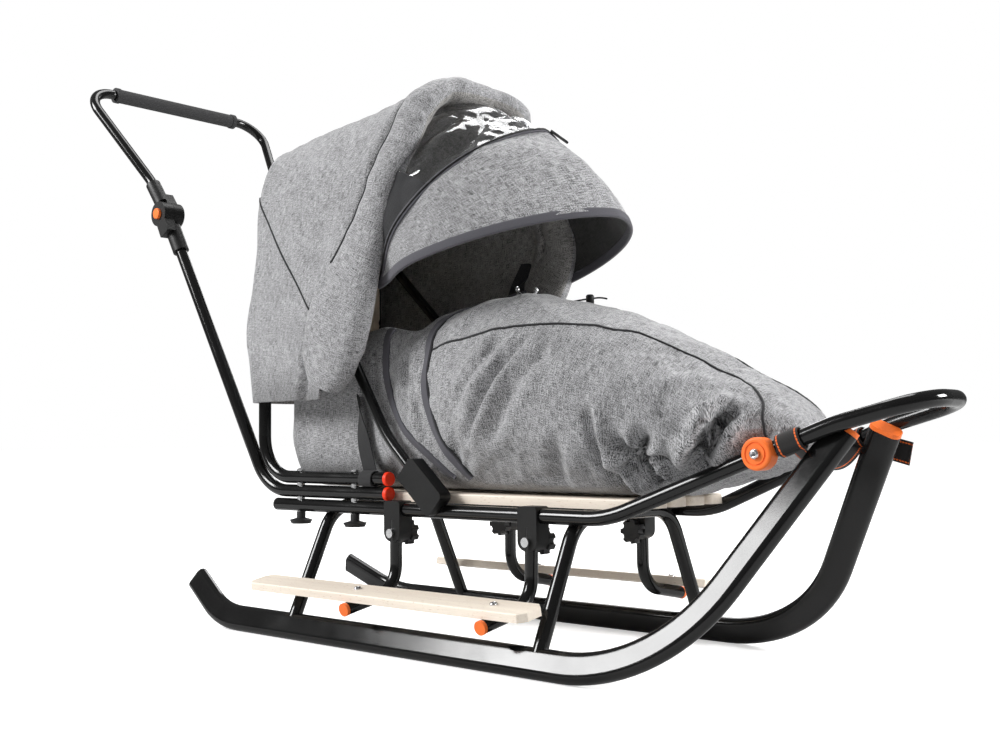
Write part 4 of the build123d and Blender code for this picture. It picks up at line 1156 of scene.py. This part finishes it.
@dataclass
class Hood:
    """The fabric hood: a tapered arch-shaped shell on the backrest tube, a padded roll, a visor and a window.

    Attributes:
        hem: height of the lower edge.
        roll_line: x and z of the roll's line, from the hem up.
        roll_inset: how far the roll's middle lies inside the front arch.
        left_lead: how far the left edge is pulled forward, most at lead_height.
        roll_widths: length from the roll's end, and its half width there.
        tucks: share of the roll's length, depth, angle round it and lean of each tuck.
        seam: x and z of the side seam.
        pivot: x and z of the line that the visor and the window fan out from.
        fan: tilt in degrees, reach and the two powers of the fan's arches.
        tuck: share by which the fan's roots are drawn in.
        seam_angle: tilt of the zip between visor and window.
        painted_shade_end: sine of the arch's angle below which the window's ends are black cloth, painted
            shade for the dark film there.
        pull_share: where along the zip its pull sits.
        bulge: height and depth of the slack at the lower rear corner.
        groove_depth: depth of the shell's fold beside the roll.
    """

    hem: float = 0.360
    rear_x: float = -0.3325
    rear_half: float = 0.1486
    rear_top: float = 0.794
    front_half: float = 0.176
    front_top: float = 0.836
    corner: float = 0.030
    rear_power: float = 4.3
    front_power: float = 3.4
    roll_line: Pairs = (
        (-0.116, 0.370), (-0.086, 0.445), (-0.063, 0.505), (-0.037, 0.555),
        (-0.001, 0.630), (0.015, 0.695), (0.032, 0.751), (0.045, 0.836),
    )
    roll_inset: float = 0.006
    roll_start: float = 0.380
    left_lead: float = 0.100
    lead_height: float = 0.575
    lead_spread: float = 0.13
    roll_widths: Pairs = (
        (0.0, 0.046), (0.05, 0.057), (0.10, 0.064), (0.14, 0.061), (0.175, 0.050),
        (0.22, 0.039), (0.28, 0.030), (0.40, 0.028), (0.50, 0.031),
    )
    tucks: tuple[Quad, ...] = (
        (0.36, 0.006, 0.2, 1.0), (0.43, 0.007, -0.3, 2.0), (0.50, 0.009, -0.2, 0.3), (0.57, 0.007, 0.1, 1.6),
        (0.64, 0.008, -0.2, 2.4), (0.125, 0.011, 2.5, 0.8), (0.875, 0.011, 2.5, 0.8),
    )
    seam: Pairs = (
        (-0.322, 0.700), (-0.256, 0.621), (-0.194, 0.549), (-0.135, 0.484),
    )
    pivot: tuple[float, float] = (-0.0167, 0.5263)
    fan_half: float = 0.182
    fan: tuple[Quad, ...] = (
        (14.1, 0.3424, 1.70, 2.57),
        (30.0, 0.3190, 1.56, 2.80),
        (47.8, 0.2999, 1.42, 3.05),
        (64.0, 0.2960, 1.50, 3.00),
        (80.0, 0.2980, 1.80, 2.90),
    )
    tuck: float = 0.20
    tuck_reach: float = 0.065
    seam_angle: float = 47.8
    rim_angle: float = 14.1
    window_end: float = 78.0
    painted_shade_end: float = 0.45
    film_rows: int = 90
    film_columns: int = 220
    zip_points: int = 240
    pull_share: float = 0.538
    bulge: tuple[float, float] = (0.478, 0.024)
    groove_depth: float = 0.013
    seam_radius: float = 0.0017
    roll_shadow_line_radius: float = 0.0024

    def front_x(self, z: Array) -> Array:
        """Return x of the roll's line at a height."""
        line = np.array(self.roll_line)
        return smooth_table(z, line[:, 1], line[:, 0])

    def arch(self, half: Array, top: Array, power: Array, angle: Array) -> tuple[Array, Array]:
        """Return y and z of an arch: half a superellipse standing on the hem, from the right to the left."""
        c, s = power_circle(angle, power)
        return -half * c, self.hem + (top - self.hem) * s

    def shell_skin(self) -> Skin:
        """Return the shell: rows go over the back wall from its middle seam, round its corner and forward.

        On the back wall y grows from 0 to the rear arch. Along the sides each row is a mix of the rear arch
        and the arch at the roll, whose x follows the roll's line.
        """
        angle = np.linspace(0.0, math.pi, 161)[None]
        rear_y, rear_z = self.arch(self.rear_half, self.rear_top, self.rear_power, angle)
        front_y, front_z = self.arch(self.front_half, self.front_top, self.front_power, angle)
        share = self.corner / self.rear_half
        back = np.linspace(0.0, 1.0 - share, 26)[:, None]
        turn = np.linspace(0.0, math.pi / 2, 9)[1:, None]
        rows = [
            (self.rear_x - 0.006 * (1 - back**2) + 0 * angle, back * rear_y, rear_z + 0 * back),
            (
                self.rear_x + self.corner * (1 - np.cos(turn)) + 0 * angle,
                (1 - share + share * np.sin(turn)) * rear_y,
                rear_z + 0 * turn,
            ),
        ]
        forward = np.linspace(0.0, 1.0, 90)[1:, None]
        start = self.rear_x + self.corner
        side_y = rear_y + (front_y - rear_y) * forward
        side_z = rear_z + (front_z - rear_z) * forward
        edge = self.front_x(front_z) + self.lead(np.stack([0 * front_y, front_y, front_z], axis=-1))
        rows.append((start + (edge - start) * forward, side_y, side_z))
        points = np.concatenate([np.stack(row, axis=-1) for row in rows])
        height, depth = self.bulge
        slack = np.exp(-(((points[..., 2] - height) / 0.065) ** 2))
        slack = slack * np.exp(-(((points[..., 0] + 0.32) / 0.05) ** 2))
        points[..., 0] -= depth * slack
        skin = Skin(points)
        fade = smoothstep(np.abs(points[..., 1]) / 0.05)
        waves = 0.0026 * ripple(points * (1, 1, 0.7), 0.16, 11) + 0.0010 * ripple(points, 0.06, 12)
        return Skin(points + skin.normals() * (waves * fade - self.tuck_in(points))[..., None])

    def tuck_in(self, points: Array) -> Array:
        """Return how deep the shell is drawn in under the roll: a bell curve about the roll's rear edge."""
        height = points[..., 2]
        table = np.array(self.roll_widths).T
        wide = smooth_table(np.clip((height - self.roll_start) * 1.12, 0, 0.4), table[0], table[1])
        off = (self.front_x(height) + self.lead(points) - points[..., 0] - wide - 0.004) / 0.011
        loose = 1 - 0.75 * np.exp(-(((height - 0.535) / 0.025) ** 2))
        return self.groove_depth * np.exp(-(off**2)) * loose * smoothstep(np.abs(points[..., 1]) / 0.12)

    def roll_path(self) -> tuple[Array, Array]:
        """Return evenly spaced points of the front arch, set in a little, and its outward directions."""
        angle = np.linspace(0.0, math.pi, 2000)
        y, z = self.arch(self.front_half, self.front_top, self.front_power, angle)
        arch = np.stack([self.front_x(z), y, z], axis=1)[z > self.roll_start]
        run = np.r_[0.0, np.cumsum(np.linalg.norm(np.diff(arch, axis=0), axis=1))]
        even = np.linspace(0.0, run[-1], 280)
        path = np.stack([np.interp(even, run, column) for column in arch.T], axis=1)
        lift = (path[:, 2] - self.hem) / (self.front_top - self.hem)
        steep = self.front_power - 1
        rise = np.abs(lift) ** steep / (self.front_top - self.hem)
        spread = np.sign(path[:, 1]) * np.abs(path[:, 1] / self.front_half) ** steep / self.front_half
        out = unit(np.stack([0 * rise, spread, rise], axis=1))
        path[:, 0] += self.lead(path)
        inset = self.roll_inset + 0.005 * smoothstep((path[:, 2:] - 0.6) / 0.2)
        return path - inset * out, out

    def lead(self, points: Array) -> Array:
        """Return how far forward the hood's edge is pulled on the left side: a bell curve of the height."""
        level = (points[..., 2] - self.lead_height) / self.lead_spread
        return self.left_lead * smoothstep(points[..., 1] / 0.1) * np.exp(-(level**2))

    def roll_skin(self) -> Skin:
        """Return the roll: an oval carried along the front arch, wider near its rounded ends, with tucks."""
        path, out = self.roll_path()
        tangent = unit(np.gradient(path, axis=0))
        out = unit(out - (out * tangent).sum(axis=1, keepdims=True) * tangent)
        ahead = np.cross(tangent, out)
        run = np.r_[0.0, np.cumsum(np.linalg.norm(np.diff(path, axis=0), axis=1))]
        end = np.minimum(run, run[-1] - run)
        table = np.array(self.roll_widths).T
        wide = smooth_table(end, table[0], table[1])
        thick = 0.020 + 0.004 * np.exp(-(((end - 0.080) / 0.080) ** 2))
        close = np.sqrt(np.clip(1 - np.clip(1 - (end + 0.016) / 0.055, 0, 1) ** 2, 0.0009, 1))
        angle = np.arange(64) / 64 * 2 * math.pi
        c, s = power_circle(angle, 2.3)
        offset = (wide * close)[:, None, None] * c[None, :, None] * ahead[:, None]
        offset = offset + (thick * close)[:, None, None] * s[None, :, None] * out[:, None]
        points = path[:, None] + offset
        skin = Skin(points, wraps=True, capped=True)
        depth = 0.0020 * ripple(points, 0.10, 21) + 0.0010 * ripple(points, 0.04, 22)
        for share, deep, where, lean in self.tucks:
            off = (run[:, None] - run[-1] * share - 0.012 * np.cos(angle - lean)[None]) / 0.011
            depth = depth - deep * np.exp(-(off**2)) * np.clip(np.cos(angle - where), 0, 1)[None] ** 1.5
        return Skin(points + skin.normals() * (depth * close[:, None])[..., None], wraps=True, capped=True)

    def fan_point(self, tilt: Array, turn: Array) -> Array:
        """Return a point of the fan of arches about the pivot line.

        Each arch is half a superellipse in the plane at that tilt, whose reach and powers come from a table.
        Near the pivot it is drawn in, by a bell curve of its reach, so that its roots lie behind the roll.

        Args:
            tilt: the plane's angle above level, in degrees.
            turn: the angle along the arch, from 0 at the right end to pi at the left.

        Returns:
            The positions.
        """
        table = np.array(self.fan).T
        reach, width_power, reach_power = (smooth_table(tilt, table[0], column) for column in table[1:])
        c, s = np.cos(turn), np.abs(np.sin(turn))
        y = -self.fan_half * np.sign(c) * np.abs(c) ** (2 / width_power)
        out = reach * s ** (2 / reach_power)
        y = y * (1 - self.tuck * np.exp(-((out / self.tuck_reach) ** 2)))
        angle = np.radians(tilt)
        x = self.pivot[0] + out * np.cos(angle)
        return np.stack(np.broadcast_arrays(x, y, self.pivot[1] + out * np.sin(angle)), axis=-1)

    def turns(self, count: int) -> Array:
        """Return angles along an arch, closer together towards its ends, where it is steep."""
        return (1 - np.cos(np.linspace(0.035, math.pi - 0.035, count))) / 2 * math.pi

    def fan_skin(self, low: float, high: float, rows: int, columns: int) -> Skin:
        """Return the part of the fan between two tilts."""
        tilt = np.linspace(low, high, rows)[:, None]
        return Skin(self.fan_point(tilt, self.turns(columns)[None]))

    def fan_curve(self, tilt: float, count: int) -> tuple[Array, Array]:
        """Return an arch of the fan, and the directions out of its surface along it."""
        skin = self.fan_skin(tilt - 3, tilt + 3, 3, count)
        return self.fan_point(np.full(count, tilt), self.turns(count)), skin.normals()[1]

    def add_sheet(self, name: str, skin: Skin, finish: Finish, node: str) -> Piece:
        """Add a sheet of cloth that stands for a CAD node, and hide that node.

        Args:
            name: the piece's name.
            skin: its surface.
            finish: its finish.
            node: the CAD node.

        Returns:
            The new piece.
        """
        piece = add_piece(name, skin, finish)
        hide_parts(node)
        across, along = skin.lengths()
        return piece

    def build_shell(self) -> None:
        """Build the shell with its lining and its side seams."""
        skin = self.shell_skin()
        piece = self.add_sheet("hood_cloth", skin, PALETTE.cloth, "hood_shell")
        weld(piece)
        thicken(piece, 0.004, PALETTE.lining)
        for side in Side:
            line = smooth_path(np.array([(x, 0.0, z) for x, z in self.seam]), 70)
            path, normal = skin.on_side(line[:, 0], line[:, 2], side)
            name = f"hood_seam_{side.name.lower()}"
            add_piece(name, sweep(path, normal, round_profile(self.seam_radius)), PALETTE.piping)

    def build_roll(self) -> None:
        """Build the padded roll and a thin black cord along its rear edge, painted shade for the fold between
        the roll and the shell.
        """
        skin = self.roll_skin()
        piece = add_piece("hood_roll_cloth", skin, PALETTE.cloth)
        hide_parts("hood_roll")
        rows, columns = skin.points.shape[:2]
        inner = np.sin((np.arange(columns) + 0.5) / columns * 2 * math.pi) < -0.25
        line_faces(piece, PALETTE.lining, np.tile(inner, rows - 1))
        # The black cord along the roll's rear edge is painted shade for the fold where the shell tucks under
        # the roll.
        row = np.linspace(0.15, 0.85, 300) * (rows - 1)
        rear = (math.pi - 0.55) / (2 * math.pi) * columns
        path, normal = skin.at(row, np.full(300, rear))
        piping = sweep(path, normal, round_profile(self.roll_shadow_line_radius))
        add_piece("hood_roll_shadow_line", piping, PALETTE.piping)

    def build_visor(self) -> None:
        """Build the visor with its bound rim."""
        skin = self.fan_skin(self.rim_angle, self.seam_angle, 60, 180)
        waves = 0.0018 * ripple(skin.points, 0.12, 31) + 0.0007 * ripple(skin.points, 0.05, 32)
        skin = Skin(skin.points + skin.normals() * waves[..., None])
        piece = self.add_sheet("visor_cloth", skin, PALETTE.cloth, "visor")
        # The visor's underside takes the near-black copy of the grey cloth: painted shade.
        thicken(piece, 0.003, PALETTE.visor_painted_shade)
        path, normal = self.fan_curve(self.rim_angle, 200)
        binding = band_profile(0.0135, 0.0062, 28, 4.0)
        add_piece("visor_binding", sweep(path - normal * 0.0015, normal, binding), PALETTE.binding)

    def build_window(self) -> None:
        """Build the crumpled film above the visor, with black cloth at its ends as painted shade for the dark
        film there.
        """
        rows, columns = self.film_rows, self.film_columns
        skin = self.fan_skin(self.seam_angle + 0.6, self.window_end, rows, columns)
        points, arc = skin.points, np.sin(self.turns(columns))
        edge = smoothstep(np.linspace(0, 1, rows)[:, None] / 0.15) * smoothstep(arc[None] / 0.75)
        sharp = np.abs(ripple(points, 0.095, 41)) + 0.30 * np.abs(ripple(points, 0.040, 42))
        waves = 0.0075 * (sharp - 0.6) + 0.004 * ripple(points, 0.15, 43)
        skin = Skin(points + skin.normals() * (waves * edge - 0.002)[..., None])
        piece = self.add_sheet("window_film", skin, PALETTE.film, "window")
        # The window's ends take the black finish instead of film: painted shade where the film shows dark.
        line_faces(piece, PALETTE.piping, np.tile(arc[1:] < self.painted_shade_end, rows - 1))
        thicken(piece, 0.0006)

    def build_zip(self) -> None:
        """Build the zip between visor and window, with its pull."""
        count = self.zip_points
        path, normal = self.fan_curve(self.seam_angle, count)
        add_piece("zip_tape", sweep(path, normal, band_profile(0.009, 0.003)), PALETTE.binding)
        wave = 1 + 0.12 * np.sin(np.arange(count) * math.pi / 2)
        teeth = sweep(path + normal * 0.0018, normal, round_profile(0.0015), wave)
        add_piece("zip_teeth", teeth, PALETTE.moulding)
        start = int(count * self.pull_share)
        below = self.fan_point(np.array([self.seam_angle - 8]), self.turns(count)[start : start + 1])[0]
        down = unit(below - path[start])
        tab = path[start] + normal[start] * 0.005 + np.linspace(0, 0.032, 14)[:, None] * down
        pull = sweep(tab, np.repeat(normal[start][None], 14, 0), band_profile(0.010, 0.004, 24, 4))
        add_piece("zip_pull", pull, PALETTE.moulding)

    def build(self) -> None:
        """Build the hood's pieces."""
        self.build_shell()
        self.build_roll()
        self.build_visor()
        self.build_window()
        self.build_zip()


@dataclass
class BackrestPad:
    """The lined pad on the backrest: a soft closed slab with sewn channels.

    Attributes:
        rear_x: x of its back face.
        channels: heights of the channels.
        channel_depth: their depth.
        swell: how far the stuffing may move the cloth.
        rings: how many rings each face has.
        columns: how many points a ring has.
    """

    rear_x: float = -0.3062
    thickness: float = 0.034
    half_width: float = 0.102
    bottom: float = 0.372
    top: float = 0.734
    channels: tuple[float, ...] = (0.48, 0.60)
    channel_depth: float = 0.007
    channel_width: float = 0.008
    swell: float = 0.009
    rings: int = 30
    columns: int = 160

    def skin(self) -> Skin:
        """Return the slab: rings shrink from its outline to a line at the middle of its front and back faces.

        The outline is a superellipse, and the thickness falls off towards it as the fourth root of 1 - r^8.
        """
        angle = np.arange(self.columns) / self.columns * 2 * math.pi
        c, s = power_circle(angle, 4.5)
        out = np.linspace(0.02, 1, self.rings)
        ring = np.concatenate([out, np.linspace(1, 0.02, self.rings)[1:]])[:, None]
        front = np.r_[np.zeros(self.rings), np.ones(self.rings - 1)][:, None]
        y = ring * self.half_width * c
        z = (self.top + self.bottom) / 2 + ring * (self.top - self.bottom) / 2 * s
        edge = (1 - ring**8) ** 0.25
        x = self.rear_x + self.thickness * (0.5 + (front - 0.5) * edge)
        return Skin(np.stack(np.broadcast_arrays(x, y, z), axis=-1), wraps=True, capped=True)

    def build(self) -> None:
        """Build the pad, swell it and press its channels in."""
        skin = self.skin()
        piece = add_piece("backrest_pad_cloth", skin, PALETTE.fleece)
        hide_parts("backrest_pad")
        rim = np.arange(2 * self.rings - 1)[:, None] == self.rings - 1
        held = (skin.points[..., 0] < self.rear_x + 0.008) | rim
        stuff(piece, np.r_[held.ravel(), True, False], self.swell)
        points = settle(piece, skin).points
        for height in self.channels:
            groove = self.channel_depth * np.exp(-(((points[..., 2] - height) / self.channel_width) ** 2))
            points[..., 0] -= groove * smoothstep((points[..., 0] - self.rear_x - 0.02) / 0.01)
        reshape(piece, points)


@dataclass
class Straps:
    """Webbing: the side straps on the backrest tube and the tow strap on the front arms.

    Attributes:
        tube: radius of the tubes.
        thickness: thickness of the webbing.
        side_place: x, y and z of a side strap's loop, on the left.
        side_length: length of its tail.
        side_lean: lean of its tail backwards, in degrees.
        tow_x: x where the tow strap goes round the arms.
        arm_start: lower end of the left arm.
        arm_end: upper end of the left arm.
        tow_sag: how far the tow strap hangs down between the arms.
        tow_end: run of its free end, from the left arm.
    """

    tube: float = 0.010
    thickness: float = 0.0018
    side_place: Place = (-0.060, 0.122, 0.240)
    side_length: float = 0.118
    side_width: float = 0.028
    side_lean: float = 13.0
    tow_x: float = 0.620
    arm_start: Place = (0.383, 0.122, 0.196)
    arm_end: Place = (0.671, 0.0746, 0.3122)
    tow_width: float = 0.030
    tow_sag: float = 0.026
    tow_end: Place = (0.060, -0.004, -0.016)

    def arm_frame(self, side: Side) -> tuple[Array, Array]:
        """Return the middle of the tow strap's ring on one arm, and the arm's direction."""
        a, b = (np.array(p) * (1, side.value, 1) for p in (self.arm_start, self.arm_end))
        return a + (b - a) * ((self.tow_x - a[0]) / (b[0] - a[0])), unit(b - a)

    def band(self, path: Array, up: Array, width: float) -> Skin:
        """Return webbing laid along a path."""
        return sweep(path, up, band_profile(width, self.thickness))

    def ring(self, centre: Array, axis: Array, radius: float, width: float) -> Skin:
        """Return a band wrapped round a tube: carried round a circle, a little past a full turn."""
        first = unit(np.cross(axis, (0.0, 0.0, 1.0)))
        second = np.cross(axis, first)
        angle = np.linspace(0.4, 2 * math.pi + 0.9, 72)[:, None]
        lift = radius + 0.0016 * smoothstep((angle - 2 * math.pi - 0.1) / 0.5)
        out = np.cos(angle) * first + np.sin(angle) * second
        return self.band(centre + lift * out, out, width)

    def build_side_strap(self, side: Side) -> None:
        """Build one side strap: a loop round the tube and a tail that leans back and twists."""
        centre = np.array(self.side_place) * (1, side.value, 1)
        loop = self.ring(centre, np.array([1.0, 0, 0]), self.tube + 0.0013, self.side_width)
        t = np.linspace(0, 1, 40)[:, None]
        lean = math.radians(self.side_lean)
        run = np.array([-math.sin(lean), 0, math.cos(lean)])
        tail = centre + (0, side.value * -0.003, 0) + (self.tube + self.side_length * t) * run
        tail = tail + (0, side.value, 0) * (0.004 * np.sin(t * math.pi))
        twist = 0.9 * smoothstep((t - 0.3) / 0.7)
        up = np.concatenate([-np.sin(twist), side.value * np.cos(twist), 0 * twist], axis=1)
        name = f"side_strap_{side.name.lower()}"
        piece = add_set(f"{name}_webbing", [loop, self.band(tail, up, self.side_width)], PALETTE.webbing)
        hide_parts(name)

    def build_tow_strap(self) -> None:
        """Build the tow strap: a ring on each arm, the sagging run between them and a free end."""
        frames = [self.arm_frame(side) for side in Side]
        bands = [self.ring(middle, axis, self.tube + 0.0030, self.tow_width) for middle, axis in frames]
        right, left = (middle for middle, _ in frames)
        t = np.linspace(-1, 1, 60)[:, None]
        drop = np.array([0, 0, -1.0]) * (self.tow_sag * (1 - t**2))
        hang = (left + right) / 2 + (left - right) / 2 * t * 0.86 + drop + (0, 0, -0.004)
        bands.append(self.band(hang, np.repeat([[0.25, 0.0, 1.0]], 60, axis=0), self.tow_width))
        s = np.linspace(0, 1, 24)[:, None]
        end = left + (0.006, 0.0165, 0.0) + s * np.array(self.tow_end)
        bands.append(self.band(end, np.repeat([[0.1, 1.0, 0.1]], 24, axis=0), self.tow_width))
        piece = add_set("tow_strap_webbing", bands, PALETTE.tow_webbing)
        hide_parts("tow_strap")

    def build(self) -> None:
        """Build the straps."""
        for side in Side:
            self.build_side_strap(side)
        self.build_tow_strap()


@dataclass
class Trim:
    """The footmuff's drawcord end with its lock, and two toggles.

    Attributes:
        lock: middle of the lock.
        barrel: radius and height of the lock's outline.
        drawcord: route of the cord's free end, from the lock's middle.
        drawcord_width: thickness of the cord.
        toggles: feet of the toggles.
        toggle_leans: directions of the toggles.
        knob: radius and height of a toggle's outline.
    """

    lock: Place = (0.212, 0.070, 0.503)
    lock_axis: Place = (0.2, -0.3, 1.0)
    barrel: Pairs = (
        (0.0, -0.007), (0.0052, -0.007), (0.006, -0.005), (0.006, 0.005), (0.0048, 0.007), (0.0, 0.007),
    )
    drawcord: Triples = (
        (-0.030, -0.020, -0.004), (-0.012, -0.006, 0.0), (0.0, 0.0, 0.001),
        (0.014, 0.008, 0.003), (0.024, 0.010, 0.0),
    )
    drawcord_width: float = 0.0026
    toggles: Triples = ((0.140, -0.004, 0.505), (0.150, 0.012, 0.503))
    toggle_leans: Triples = ((-0.35, -0.1, 1.0), (0.3, 0.2, 1.0))
    knob: Pairs = (
        (0.0, 0.0), (0.0035, 0.001), (0.0042, 0.006), (0.002, 0.010),
        (0.0036, 0.014), (0.003, 0.018), (0.0, 0.019),
    )

    def add_drawcord(self, lock: Piece) -> None:
        """Lay the drawcord's free end through its lock, as a round NURBS curve."""
        route = np.array(self.drawcord) + np.array(self.lock)
        curve = bpy.data.curves.new("drawcord_end", "CURVE")
        curve.dimensions = "3D"
        curve.bevel_depth = self.drawcord_width / 2
        curve.bevel_resolution = 3
        curve.use_fill_caps = True
        spline = curve.splines.new("NURBS")
        spline.points.add(len(route) - 1)
        spline.points.foreach_set("co", np.c_[route, np.ones(len(route))].ravel())
        spline.order_u = 3
        spline.use_endpoint_u = True
        spline.resolution_u = 12
        curve.materials.append(PALETTE.moulding.material())
        piece = add_object("drawcord_end", curve)
        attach(piece, FRAME_BODY)

    def build(self) -> None:
        """Build the cord lock on the drawcord's end, and the two toggles."""
        lock = turned(np.array(self.barrel), np.array(self.lock), np.array(self.lock_axis), 24)
        self.add_drawcord(add_piece("cord_lock", lock, PALETTE.moulding))
        feet = zip(self.toggles, self.toggle_leans)
        knobs = [turned(np.array(self.knob), np.array(foot), np.array(lean), 20) for foot, lean in feet]
        add_set("drawcord_toggles", knobs, PALETTE.bright)


# The studio


@dataclass
class Studio:
    """Camera, lamps, white surroundings and floor.

    Attributes:
        eye: the camera's place.
        azimuth: direction of view in degrees, 0 along +Y.
        tilt: elevation of the camera above its target in degrees.
        roll: turn about the line of view in degrees.
        focal_pixels: focal length in pixels of an image 1000 wide.
        image_width: that width.
        ambient: strength of the room's light on its bright side.
        dim: the same on its dark side.
        mirror_level: share of that light that mirrored rays get.
        bright_side: direction of the bright side.
        floor_tones: the floor's tone on unseen and on seen rays.
        floor_reach: half the floor's width.
        lamps: place, target, size and power of each soft box.
    """

    eye: Place = (1.3101, -1.3510, 0.2984)
    azimuth: float = 41.98
    tilt: float = -3.0
    roll: float = -0.45
    focal_pixels: float = 1214.95
    image_width: float = 1000.0
    ambient: float = 0.42
    dim: float = 0.10
    mirror_level: float = 0.45
    bright_side: Place = (0.0, -0.3, 0.954)
    floor_tones: tuple[float, float] = (0.55, 0.86)
    floor_reach: float = 40.0
    lamps: tuple[tuple[Place, Place, float, float], ...] = (
        ((-2.0, -2.8, 2.3), (0.0, 0.0, 0.45), 1.5, 165.0),
        ((-0.40, 0.85, 3.2), (0.1, 0.0, 0.5), 1.5, 42.0),
        ((3.0, 1.4, 1.5), (0.3, 0.0, 0.45), 1.0, 128.0),
        ((-1.9, 3.0, 2.2), (0.1, 0.0, 0.7), 1.6, 36.0),
    )

    def add_camera(self) -> None:
        """Place the camera: its axes are the view's right, up and back directions, turned by the roll."""
        a, e, r = (math.radians(v) for v in (self.azimuth, self.tilt, self.roll))
        back = np.array([math.sin(a) * math.cos(e), -math.cos(a) * math.cos(e), math.sin(e)])
        right = np.array([math.cos(a), math.sin(a), 0.0])
        up = np.cross(back, right)
        right, up = right * math.cos(r) + up * math.sin(r), up * math.cos(r) - right * math.sin(r)
        lens = bpy.data.cameras.new("photo_camera")
        lens.sensor_fit, lens.sensor_width = "HORIZONTAL", 36.0
        lens.lens = self.focal_pixels * lens.sensor_width / self.image_width
        camera = add_object("photo_camera", lens)
        turn = Matrix(np.stack([right, up, back], axis=1).tolist())
        camera.matrix_world = Matrix.Translation(self.eye) @ turn.to_4x4()
        bpy.context.scene.camera = camera

    def add_lamps(self) -> None:
        """Hang the soft boxes."""
        for index, (place, target, size, power) in enumerate(self.lamps):
            light = bpy.data.lights.new(f"soft_box_{index}", "AREA")
            light.shape, light.size, light.energy = "SQUARE", size, power
            lamp = add_object(light.name, light)
            lamp.location = place
            lamp.rotation_euler = (Vector(target) - Vector(place)).to_track_quat("-Z", "Y").to_euler()

    def seen(self, graph: Graph) -> Socket:
        """Return 1 on rays that show the background: from the camera, or let through undiffused."""
        path = graph.node("ShaderNodeLightPath").outputs
        direct = graph.math("LESS_THAN", path["Diffuse Depth"], 0.5)
        through = graph.math("MULTIPLY", direct, path["Is Transmission Ray"])
        return graph.math("MAXIMUM", path["Is Camera Ray"], through)

    def add_world(self) -> None:
        """Surround the sled with a room that shows as white, is darker below and dimmer in mirrored rays."""
        world = bpy.data.worlds.new("white_room")
        bpy.context.scene.world = world
        world.use_nodes = True
        graph = Graph(world.node_tree)
        background = graph.tree.nodes["Background"]
        background.inputs["Color"].default_value = (1, 1, 1, 1)
        way = graph.node("ShaderNodeTexCoord").outputs["Generated"]
        toward = graph.node("ShaderNodeVectorMath", {0: way, 1: self.bright_side}, operation="DOT_PRODUCT")
        shade = graph.remap(toward.outputs["Value"], (-0.9, 0.9), (self.dim, self.ambient))
        glossy = graph.node("ShaderNodeLightPath").outputs["Is Glossy Ray"]
        mirrored = graph.math("MULTIPLY_ADD", glossy, self.mirror_level - 1.0, 1.0)
        unseen = graph.math("MULTIPLY", shade, mirrored)
        level = graph.node("ShaderNodeMix", {0: self.seen(graph), 2: unseen, 3: 1.0})
        graph.tree.links.new(level.outputs[0], background.inputs["Strength"])

    def add_floor(self) -> None:
        """Lay a white floor that keeps the sled's shadow and glows on seen rays, to meet the white room."""
        reach = self.floor_reach
        corners = [(-reach, -reach, 0), (reach, -reach, 0), (reach, reach, 0), (-reach, reach, 0)]
        mesh = bpy.data.meshes.new("studio_floor")
        mesh.from_pydata(corners, [], [(0, 1, 2, 3)])
        floor = add_object("studio_floor", mesh)
        shader = Shader("white_floor")
        distance = shader.node("ShaderNodeVectorMath", {0: shader.place((1, 1, 1))}, operation="LENGTH")
        glow = shader.remap(distance.outputs["Value"], (0.7, 3.0), (0.45, 0.85))
        shader.constant(Roughness=0.9, Specular_IOR_Level=0.0, Emission_Color=(1, 1, 1, 1))
        seen = self.seen(shader)
        tones = [(tone, tone, tone) for tone in self.floor_tones]
        shader.feed("Base Color", shader.blend(seen, *tones))
        shader.feed("Emission Strength", shader.math("MULTIPLY", glow, seen))
        floor.data.materials.append(shader.material)

    def build(self) -> None:
        """Build the studio."""
        bpy.context.scene.view_settings.view_transform = "Standard"
        self.add_camera()
        self.add_lamps()
        self.add_world()
        self.add_floor()


def main() -> None:
    """Load the frame, then build the studio and the sled's pieces in order."""
    logging.basicConfig(level=logging.INFO, format="%(message)s")
    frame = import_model()
    Studio().build()
    dress = FrameDress()
    dress.dress(frame["nodes"])
    dress.add_hardware()
    Hood().build()
    Footmuff().build()
    BackrestPad().build()
    Straps().build()
    Trim().build()


if __name__ == "__main__":
    main()
